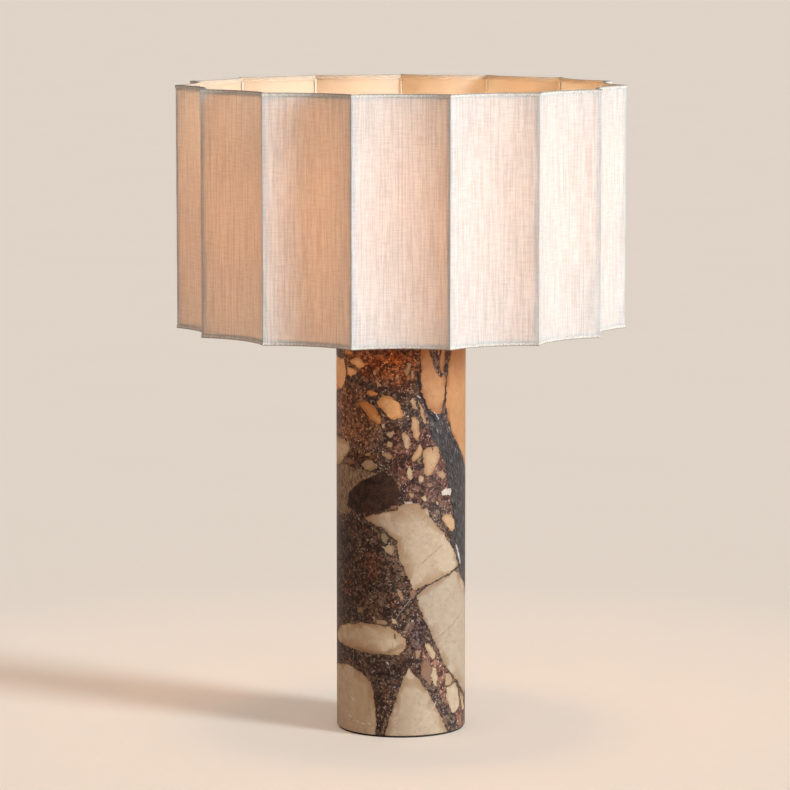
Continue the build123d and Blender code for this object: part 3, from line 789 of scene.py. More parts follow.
# %% [markdown]
# ## The bulb
#
# An opal globe on a white collar, with a rolled screw cap. The globe is what lights the shade, so it
# glows: its shader gives out warm light, most of it downwards, and the daylight still shows its
# surface. Its curve is a vertex spun about the curve's own centre, then spun about the lamp's axis.

# %% Opal globe
globe_low, globe_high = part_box("bulb_globe")
globe_radius = globe_high.x
globe_wall = 1.2 * mm
globe_centre = globe_high.z - globe_radius
globe_seat = globe_low.z
seat_radius = 23 * mm
globe_colour = (1.0, 0.56, 0.25)
globe_strength = 175.0


def curve_profile(mesh, start, centre, sweep, steps):
    """Spins a vertex about a centre in the XZ plane and returns the new chain's last vertex."""
    first = mesh.verts.new(start)
    spun = bmesh.ops.spin(mesh, geom=[first], cent=centre, axis=(0, -1, 0), angle=sweep, steps=steps)
    return first, next(item for item in spun["geom_last"] if isinstance(item, bmesh.types.BMVert))


def opal_finish():
    """Opal plastic with the lamp's light behind it."""
    finish, tree, shader = new_finish("glowing_opal")
    grain = use_group(tree, fine_grain, {"Place": object_place(tree), "Grain size": 0.8})
    colour = mix_colours(tree, grain["Clouds"], (0.86, 0.84, 0.80), (0.92, 0.91, 0.88))
    join(tree, colour, shader, "Base Color")
    join(tree, step_between(tree, grain["Grain"], 0.2, 0.8, 0.28, 0.40), shader, "Roughness")
    height = place(tree, "SeparateXYZ", {0: object_place(tree)}).outputs[2]
    glow = step_between(tree, height, globe_low.z / mm - 2, globe_high.z / mm - 5, 1.0, 0.03)
    join(tree, mix_colours(tree, glow, (0, 0, 0), globe_colour), shader, "Emission Color")
    shader.inputs["Emission Strength"].default_value = globe_strength
    return finish


mesh = bmesh.new()
drop = globe_centre - globe_seat
throat_curve = (drop**2 + (globe_radius - seat_radius) ** 2) / (2 * (globe_radius - seat_radius))
for radius in (globe_radius, globe_radius - globe_wall):
    curve_radius = throat_curve - (globe_radius - radius)
    centre_x = radius - throat_curve
    lower_sweep = -atan2(drop, throat_curve - (globe_radius - seat_radius))
    curve_profile(mesh, (radius, 0, globe_centre), (0, 0, globe_centre), pi / 2, 20)
    curve_profile(mesh, (radius, 0, globe_centre), (centre_x, 0, globe_centre), lower_sweep, 10)
profile = mesh.verts[:] + mesh.edges[:]
bmesh.ops.spin(mesh, geom=profile, cent=(0, 0, 0), axis=(0, 0, 1), angle=2 * pi, steps=64, use_merge=True)
bmesh.ops.remove_doubles(mesh, verts=mesh.verts, dist=0.02 * mm)
rims = [e for e in mesh.edges if e.is_boundary]
bmesh.ops.bridge_loops(mesh, edges=rims)
globe = finish_piece(mesh, "opal_globe", "bulb", [opal_finish()], ["bulb_globe"], smooth_below=60)
print("globe:", len(globe.data.polygons), "faces, radius", round(globe_radius / mm, 1), "mm")

# %% [markdown]
# ## The rolled screw cap
#
# The cap's thread is rolled into thin sheet, so its section is a soft wave. A wavy upright line,
# spun once round while it climbs one pitch, meets itself again and makes a true helix. Both ends
# are then trimmed level, and the bottom lip is turned in.

# %% Screw cap
cap_low, cap_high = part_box("bulb_cap")
cap_radius = cap_high.x
cap_thread_pitch = 3.62 * mm
cap_thread_depth = 0.75 * mm
cap_plain_rim = 5.5 * mm
wave_points = 12


def threaded_wall(mesh, crest, depth, thread_pitch, bottom, top, steps=60):
    """A helical wavy wall from bottom to top, spun from one upright line."""
    count = int((top - bottom) / thread_pitch + 3) * wave_points
    line = []
    for point in range(count):
        turn = 2 * pi * point / wave_points
        radius = crest - depth / 2 + depth / 2 * cos(turn)
        line.append(mesh.verts.new((radius, 0, bottom - 1.5 * thread_pitch + point * thread_pitch / wave_points)))
    chain = [mesh.edges.new(pair) for pair in zip(line, line[1:])]
    bmesh.ops.spin(
        mesh,
        geom=line + chain,
        cent=(0, 0, 0),
        axis=(0, 0, 1),
        dvec=(0, 0, thread_pitch / steps),
        angle=2 * pi,
        steps=steps,
    )
    bmesh.ops.remove_doubles(mesh, verts=mesh.verts, dist=0.03 * mm)
    for height, normal in ((top, 1), (bottom, -1)):
        everything = mesh.verts[:] + mesh.edges[:] + mesh.faces[:]
        bmesh.ops.bisect_plane(
            mesh, geom=everything, dist=1e-6, plane_co=(0, 0, height), plane_no=(0, 0, normal), clear_outer=True
        )


def metal_finish(name, colour, deep, roughness, closeness=(4.0, 4.0, 0.1), lines=0.02 * mm):
    """Bare metal with drawn lines and a little tarnish."""
    finish, tree, shader = new_finish(name)
    traces = use_group(tree, drawn_lines, {"Place": object_place(tree), "Closeness": closeness})
    join(tree, mix_colours(tree, step_between(tree, traces["Tarnish"], 0.35, 0.7), colour, deep), shader, "Base Color")
    rough = work_out(tree, "MULTIPLY_ADD", traces["Lines"], 0.18, roughness - 0.09)
    join(tree, rough, shader, "Roughness")
    shader.inputs["Metallic"].default_value = 1.0
    join(tree, bump(tree, traces["Lines"], lines), shader, "Normal")
    return finish


rolled_aluminium = metal_finish("rolled_aluminium", (0.82, 0.82, 0.81), (0.62, 0.61, 0.60), 0.30, (0.3, 0.3, 5.0))
mesh = bmesh.new()
threaded_wall(mesh, cap_radius, cap_thread_depth, cap_thread_pitch, cap_low.z + 1 * mm, cap_high.z - cap_plain_rim)
plain_radius = cap_radius - 0.2 * mm
for height in (cap_high.z - cap_plain_rim + 0.8 * mm, cap_high.z):
    bmesh.ops.create_circle(mesh, segments=60, radius=plain_radius, matrix=Matrix.Translation((0, 0, height)))
bmesh.ops.create_circle(mesh, segments=60, radius=12.2 * mm, matrix=Matrix.Translation((0, 0, cap_low.z)))
for low, high in (
    (cap_low.z - 0.1 * mm, cap_low.z + 1.1 * mm),
    (cap_high.z - cap_plain_rim - 0.1 * mm, cap_high.z - cap_plain_rim + 0.9 * mm),
    (cap_high.z - cap_plain_rim + 0.7 * mm, cap_high.z + 0.1 * mm),
):
    open_rims = [
        e for e in mesh.edges
        if len(e.link_faces) < 2 and all(low < v.co.z < high for v in e.verts)
        and abs(e.verts[0].co.z - e.verts[1].co.z) < 1e-6
    ]
    bmesh.ops.bridge_loops(mesh, edges=open_rims)
bmesh.ops.remove_doubles(mesh, verts=mesh.verts, dist=0.02 * mm)
bmesh.ops.recalc_face_normals(mesh, faces=mesh.faces)
bmesh.ops.solidify(mesh, geom=mesh.faces[:], thickness=0.3 * mm)
screw_cap = finish_piece(mesh, "rolled_screw_cap", "bulb", [rolled_aluminium], ["bulb_cap"], 50)
print("screw cap:", len(screw_cap.data.polygons), "faces")

# %% [markdown]
# ## The threaded lampholder shell
#
# The lampholder's shell carries the shade: a flange at its foot and a coarse rounded thread above it
# for the clamp ring. The plain body is a turned profile. The thread is a separate tooth, spun
# several turns while it climbs, so it is a true helix and not a stack of rings.

# %% Lampholder shell
shell_low, shell_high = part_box("holder_shell")
shell_thread_pitch = 3 * mm
shell_thread_crest = 19.5 * mm
shell_thread_depth = 0.7 * mm
shell_flange_top = shell_low.z + 2 * mm
shell_thread_top = shell_low.z + 21 * mm


def moulded_finish(name, colour, roughness, grain_size=0.5, relief=0.02 * mm):
    """Moulded plastic with a fine spark-eroded grain and slow changes of tone."""
    finish, tree, shader = new_finish(name)
    grain = use_group(tree, fine_grain, {"Place": object_place(tree), "Grain size": grain_size})
    darker = tuple(value * 0.86 for value in colour)
    join(tree, mix_colours(tree, step_between(tree, grain["Clouds"], 0.3, 0.7), darker, colour), shader, "Base Color")
    rough = step_between(tree, grain["Clouds"], 0.25, 0.75, roughness - 0.06, roughness + 0.06)
    join(tree, rough, shader, "Roughness")
    join(tree, bump(tree, grain["Grain"], relief), shader, "Normal")
    return finish


holder_plastic = moulded_finish("white_holder_plastic", (0.86, 0.85, 0.81), 0.42)
mesh = bmesh.new()
thread_root = shell_thread_crest - shell_thread_depth
shell_profile = [
    (17.3 * mm, shell_low.z),
    (23.0 * mm, shell_low.z),
    (23.0 * mm, shell_flange_top),
    (thread_root + 0.6 * mm, shell_flange_top),
    (thread_root, shell_flange_top + 0.6 * mm),
    (thread_root, shell_high.z - 1.0 * mm),
    (thread_root - 1.0 * mm, shell_high.z),
    (14.7 * mm, shell_high.z),
    (14.7 * mm, shell_high.z - 1.6 * mm),
    (17.3 * mm, shell_high.z - 1.6 * mm),
]
turned(mesh, shell_profile, 96)
bmesh.ops.remove_doubles(mesh, verts=mesh.verts, dist=0.01 * mm)
sharp = [e for e in mesh.edges if e.is_manifold and e.calc_face_angle() > radians(40)]
bmesh.ops.bevel(mesh, geom=sharp, offset=0.25 * mm, segments=2, profile=0.5, affect="EDGES", material=-1)
tooth_steps = 48
tooth_turns = (shell_thread_top - shell_flange_top - 2 * shell_thread_pitch) / shell_thread_pitch
tooth_foot = shell_flange_top + 0.8 * mm
tooth = corner_points(
    mesh,
    [
        (thread_root - 0.3 * mm, tooth_foot),
        (shell_thread_crest - 0.2 * mm, tooth_foot + 0.7 * mm),
        (shell_thread_crest, tooth_foot + 1.1 * mm),
        (shell_thread_crest - 0.2 * mm, tooth_foot + 1.5 * mm),
        (thread_root - 0.3 * mm, tooth_foot + 2.2 * mm),
    ],
)
bmesh.ops.spin(
    mesh,
    geom=[tooth] + tooth.edges[:] + tooth.verts[:],
    cent=(0, 0, 0),
    axis=(0, 0, 1),
    dvec=(0, 0, shell_thread_pitch / tooth_steps),
    angle=2 * pi * round(tooth_turns * tooth_steps) / tooth_steps,
    steps=round(tooth_turns * tooth_steps),
)
shell = finish_piece(mesh, "threaded_holder_shell", "lamp_base", [holder_plastic], ["holder_shell"])
print("holder shell:", len(shell.data.polygons), "faces,", round(tooth_turns, 1), "turns of thread")

# %% [markdown]
# ## Finishes for the rigid pieces
#
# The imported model's own pieces keep their meshes and get a finish each: plated steel, satin brass,
# nylon, porcelain, insulation, fibre and enamelled wire. Each finish is built by the function for
# its kind of surface, with its own colour and roughness, from the shared effects above.


# %% Finishes of the rigid pieces
def insulation_finish(name, colour, stripe=None):
    """Glossy soft insulation of one colour, or with a second colour in slanting stripes."""
    finish, tree, shader = new_finish(name)
    here = object_place(tree)
    grain = use_group(tree, fine_grain, {"Place": here, "Grain size": 1.2})
    worn = mix_colours(tree, grain["Clouds"], tuple(value * 0.8 for value in colour), colour)
    if stripe:
        sockets = {"Vector": here, "Scale": 0.11, "Distortion": 0.3}
        wave = place(tree, "TexWave", sockets, bands_direction="DIAGONAL").outputs["Fac"]
        worn = mix_colours(tree, step_between(tree, wave, 0.45, 0.55), worn, stripe)
    join(tree, worn, shader, "Base Color")
    join(tree, step_between(tree, grain["Grain"], 0.3, 0.7, 0.32, 0.42), shader, "Roughness")
    join(tree, bump(tree, grain["Grain"], 0.01 * mm), shader, "Normal")
    return finish


def glazed_finish(name, colour, roughness):
    """A glossy skin over a slightly wavy body, as on glazed porcelain, glass and lacquer."""
    finish, tree, shader = new_finish(name)
    grain = use_group(tree, fine_grain, {"Place": object_place(tree), "Grain size": 3.0})
    darker = tuple(value * 0.92 for value in colour)
    join(tree, mix_colours(tree, grain["Clouds"], darker, colour), shader, "Base Color")
    join(tree, step_between(tree, grain["Grain"], 0.3, 0.7, roughness - 0.04, roughness + 0.04), shader, "Roughness")
    shader.inputs["Coat Weight"].default_value = 0.5
    shader.inputs["Coat Roughness"].default_value = 0.08
    join(tree, bump(tree, grain["Grain"], 0.03 * mm), shader, "Normal")
    return finish


finish_of_slot = {
    "zinc_steel": metal_finish("plated_steel", (0.66, 0.66, 0.64), (0.48, 0.48, 0.47), 0.34),
    "brass": metal_finish("satin_brass", (0.76, 0.56, 0.28), (0.56, 0.38, 0.17), 0.30, (0.4, 0.4, 5.0)),
    "black_nylon": moulded_finish("black_nylon", (0.028, 0.027, 0.027), 0.5),
    "white_nylon": moulded_finish("natural_nylon", (0.80, 0.79, 0.74), 0.45),
    "holder_plastic": holder_plastic,
    "bulb_plastic": moulded_finish("white_bulb_body", (0.86, 0.85, 0.82), 0.32),
    "led_board": moulded_finish("white_lamp_board", (0.86, 0.83, 0.70), 0.4, 1.4),
    "fibre": moulded_finish("red_fibre", (0.40, 0.10, 0.05), 0.62, 0.9, 0.05 * mm),
    "brown_wire": insulation_finish("brown_insulation", (0.16, 0.06, 0.025)),
    "blue_wire": insulation_finish("blue_insulation", (0.03, 0.12, 0.42)),
    "green_wire": insulation_finish("green_and_yellow_insulation", (0.06, 0.30, 0.04), (0.72, 0.60, 0.04)),
    "porcelain": glazed_finish("white_porcelain", (0.84, 0.83, 0.79), 0.18),
    "black_glass": glazed_finish("black_cap_glass", (0.012, 0.012, 0.016), 0.12),
    "white_wire": glazed_finish("white_enamelled_wire", (0.56, 0.52, 0.47), 0.36),
}
dressed = 0
for subpart in frame["record"]["subparts"]:
    node = frame["nodes"][subpart["node"]]
    finish = finish_of_slot.get(subpart["material_slot"])
    if finish:
        node.data.materials.clear()
        node.data.materials.append(finish)
        dressed += 1
print("rigid pieces dressed:", dressed)

# %% [markdown]
# ## Violet breccia marble
#
# The column is cut from breccia: large cream and tan clasts, broken and healed by a dark maroon
# ground that is itself full of small fragments. The front has clasts of definite shape and place, so
# a random texture alone can't make it. The stone is therefore built in layers. A ground of small
# fragments comes from cell and noise textures on the object's own coordinates. On the far side large
# cells make further clasts. On the front, each large clast is inlaid one by one on the unrolled column,
# where across is the way round from the front and up is the height, both in millimetres. Its
# outline is a ring of straight facets. Noise pushes the place about first, so that no facet stays
# straight, and the stone below nibbles at each outline.


# %% Marble effects
def build_unrolled():
    """The place on the unrolled column with 1 as its third number, and the place in the block, both pushed by noise."""
    group, given, result = new_group(
        "unrolled_stone",
        [("Place", "Vector", None), ("Radius", "Float", 65.0)],
        [("Unrolled", "Vector"), ("Solid", "Vector")],
    )
    parts = place(group, "SeparateXYZ", {0: given["Place"]}).outputs
    backwards = work_out(group, "MULTIPLY", parts[1], -1.0)
    turn = work_out(group, "ARCTAN2", parts[0], backwards)
    around = work_out(group, "MULTIPLY", turn, given["Radius"])
    flat = place(group, "CombineXYZ", {0: around, 1: parts[2], 2: 1.0}).outputs[0]
    total = None
    for size, amount in ((0.05, 3.6), (0.17, 3.6), (0.7, 2.2)):
        sockets = {"Vector": given["Place"], "Scale": size, "Detail": 1.0, "Roughness": 0.5}
        colour = place(group, "TexNoise", sockets).outputs["Color"]
        centred = vector_sum(group, "SUBTRACT", colour, (0.5, 0.5, 0.5))
        pushed = place(group, "VectorMath", {0: centred, "Scale": amount}, operation="SCALE").outputs[0]
        total = pushed if total is None else vector_sum(group, "ADD", total, pushed)
    level = vector_sum(group, "MULTIPLY", total, (1.0, 1.0, 0.0))
    group.links.new(vector_sum(group, "ADD", flat, level), result["Unrolled"])
    group.links.new(vector_sum(group, "ADD", given["Place"], total), result["Solid"])
    return group


def build_nibbled():
    """Moves the place a little where the stone below is light, so that no two outlines match."""
    group, given, result = new_group(
        "nibbled_place",
        [("Place", "Vector", None), ("Below", "Color", None), ("Amount", "Float", 2.0)],
        [("Place", "Vector")],
    )
    sideways = place(group, "CombineXYZ", {0: given["Amount"], 1: given["Amount"], 2: 0.0}).outputs[0]
    sockets = {0: given["Below"], 1: sideways, 2: given["Place"]}
    moved = place(group, "VectorMath", sockets, operation="MULTIPLY_ADD").outputs[0]
    group.links.new(moved, result["Place"])
    return group


facets_in_group = 4


def build_facets():
    """Cuts a shape by four straight edges: the depth inside the nearest of them, in millimetres."""
    edges = [(f"Edge {index}", "Vector", (0, 0, 1000)) for index in range(facets_in_group)]
    group, given, result = new_group(
        "four_facets",
        [("Place", "Vector", None), ("Depth", "Float", 1000.0), ("Rounding", "Float", 1.0)] + edges,
        [("Depth", "Float")],
    )
    depth = given["Depth"]
    for name, _, _ in edges:
        sockets = {0: given["Place"], 1: given[name]}
        inside = place(group, "VectorMath", sockets, operation="DOT_PRODUCT").outputs["Value"]
        depth = work_out(group, "SMOOTH_MIN", depth, inside, given["Rounding"])
    group.links.new(depth, result["Depth"])
    return group


def build_inlay():
    """Lays a clast over the stone below, with a stain along parts of its edge and a dark rim."""
    group, given, result = new_group(
        "inlaid_clast",
        [
            ("Below", "Color", None),
            ("Depth", "Float", 0.0),
            ("Mottle", "Float", 0.5),
            ("Wear", "Float", 1.0),
            ("Stone", "Color", None),
            ("Stain", "Color", None),
            ("Stain depth", "Float", 4.0),
            ("Rim", "Float", 0.7),
        ],
        [("Colour", "Color")],
    )
    rim = step_between(group, given["Depth"], -0.9, 0.1, 0.0, 1.0)
    rim = work_out(group, "MULTIPLY", rim, given["Rim"])
    rimmed = mix_colours(group, rim, given["Below"], (0.020, 0.011, 0.008))
    reach = work_out(group, "MULTIPLY", given["Stain depth"], given["Wear"])
    reach = work_out(group, "ADD", reach, 0.3)
    core = work_out(group, "DIVIDE", given["Depth"], reach, clamp=True)
    mottled = step_between(group, given["Mottle"], 0.25, 0.75)
    shaded = mix_colours(group, mottled, given["Stain"], given["Stone"])
    settled = mix_colours(group, 0.38, given["Stone"], shaded)
    inside = mix_colours(group, core, given["Stain"], settled)
    group.links.new(mix_colours(group, step_between(group, given["Depth"], -0.2, 0.35), rimmed, inside), result["Colour"])
    return group


def build_tint():
    """Tints the stone below inside a soft-edged patch."""
    group, given, result = new_group(
        "tinted_patch",
        [("Below", "Color", None), ("Depth", "Float", 0.0), ("Softness", "Float", 4.0), ("Tint", "Color", None)],
        [("Colour", "Color")],
    )
    share = work_out(group, "DIVIDE", given["Depth"], given["Softness"], clamp=True)
    tinted = mix_colours(group, 1.0, given["Below"], given["Tint"], "MULTIPLY")
    group.links.new(mix_colours(group, share, given["Below"], tinted), result["Colour"])
    return group


def build_seam():
    """Draws one healed crack over the stone below, between two places."""
    group, given, result = new_group(
        "healed_seam",
        [
            ("Below", "Color", None),
            ("Place", "Vector", None),
            ("Start", "Vector", (0, 0, 0)),
            ("Way", "Vector", (1, 0, 0)),
            ("Width", "Float", 0.6),
            ("Strength", "Float", 1.0),
            ("Filling", "Color", None),
        ],
        [("Colour", "Color")],
    )
    offset = vector_sum(group, "SUBTRACT", given["Place"], given["Start"])
    met = place(group, "VectorMath", {0: offset, 1: given["Way"]}, operation="DOT_PRODUCT").outputs["Value"]
    whole = place(group, "VectorMath", {0: given["Way"], 1: given["Way"]}, operation="DOT_PRODUCT").outputs["Value"]
    share = work_out(group, "DIVIDE", met, whole, clamp=True)
    nearest = place(group, "VectorMath", {0: given["Way"], "Scale": share}, operation="SCALE").outputs[0]
    gap = place(group, "VectorMath", {0: offset, 1: nearest}, operation="DISTANCE").outputs["Value"]
    beside = work_out(group, "DIVIDE", gap, given["Width"])
    mask = step_between(group, beside, 0.3, 1.2, 1.0, 0.0)
    shown = work_out(group, "MULTIPLY", mask, given["Strength"])
    group.links.new(mix_colours(group, shown, given["Below"], given["Filling"]), result["Colour"])
    return group


unrolled_stone, nibbled_place, four_facets = build_unrolled(), build_nibbled(), build_facets()
inlaid_clast, tinted_patch, healed_seam = build_inlay(), build_tint(), build_seam()
print("marble effects:", unrolled_stone.name, inlaid_clast.name, tinted_patch.name, healed_seam.name)

# %% [markdown]
# ## The clasts, patches and seams of the front
#
# Each clast is its stone, how deep the stain runs in from its edge, and its corners, each as
# millimetres round from the front and millimetres of height. A clast with a hollow side is two rings
# of corners joined. Later clasts lie over earlier ones. A patch tints the ground below all the
# clasts. A seam is a chain of places with a width.

# %% Clasts, patches and seams
cream = (0.53, 0.37, 0.25)
shell_cream = (0.46, 0.33, 0.23)
pale_cream = (0.60, 0.46, 0.35)
tan = (0.64, 0.28, 0.10)
orange_tan = (0.70, 0.36, 0.15)
warm_tan = (0.48, 0.225, 0.098)
# painted light: a tan made lighter than the stone, for clasts on the left side, which the daylight misses
tan_painted_lighter = (0.82, 0.47, 0.23)
light_tan = (0.54, 0.32, 0.175)
olive_tan = (0.40, 0.25, 0.14)
dim_cream = (0.54, 0.36, 0.22)
# painted light: cream made lighter than the cream stone, for clasts on the left side, which the daylight misses
cream_painted_lighter = (0.66, 0.46, 0.30)
brown_cream = (0.44, 0.28, 0.17)
pink_brown = (0.27, 0.135, 0.085)
grey_olive = (0.27, 0.19, 0.105)
white_vein = (0.60, 0.48, 0.40)
of_ground, of_slate, of_lens, of_olive = "ground", "slate", "lens", "olive"

patches = [
    # painted light: the lamp's warm glow on the column's top, just under the shade, in these two patches
    ((2.1, 1.20, 0.65), 16, [(-70, 396), (27, 396), (25, 366), (8, 346), (-40, 358), (-70, 372)]),
    ((1.2, 0.98, 0.62), 6, [(-16, 395), (5, 395), (4, 377), (-8, 373), (-17, 380)]),
    # painted light: this patch lightens the left side, which the daylight misses
    ((2.0, 1.50, 1.05), 14, [(-110, 372), (-40, 355), (-16, 318), (-28, 285), (-60, 288), (-110, 298)]),
    ((1.0, 0.78, 0.80), 10, [(-20, 316), (30, 320), (60, 270), (60, 225), (5, 232), (-10, 262)]),
    ((1.35, 1.05, 0.65), 8, [(-66, 292), (-22, 292), (-20, 278), (-66, 272)]),
    ((0.76, 0.74, 0.70), 8, [(-100, 222), (-45, 222), (-12, 208), (4, 160), (-4, 122), (-40, 116), (-100, 112)]),
    ((1.35, 1.00, 0.85), 8, [(-40, 196), (-20, 194), (-18, 170), (-28, 152), (-38, 160)]),
    ((1.5, 1.05, 0.85), 6, [(-70, 160), (-54, 163), (-51, 145), (-60, 136), (-70, 142)]),
    ((1.3, 0.95, 0.80), 5, [(-18, 152), (-3, 150), (0, 138), (-2, 130), (-12, 130)]),
    ((0.60, 0.62, 0.66), 8, [(-100, 90), (-40, 88), (8, 82), (14, 74), (-2, 40), (-14, 0), (-32, 0), (-30, 60), (-100, 72)]),
    ((0.80, 0.80, 1.05), 8, [(-8, 124), (10, 134), (20, 134), (32, 104), (16, 70), (-4, 66), (4, 100)]),
    ((1.5, 1.20, 1.20), 6, [(14, 92), (38, 96), (60, 60), (90, 20), (80, -5), (62, -5), (40, 40), (14, 72)]),
]

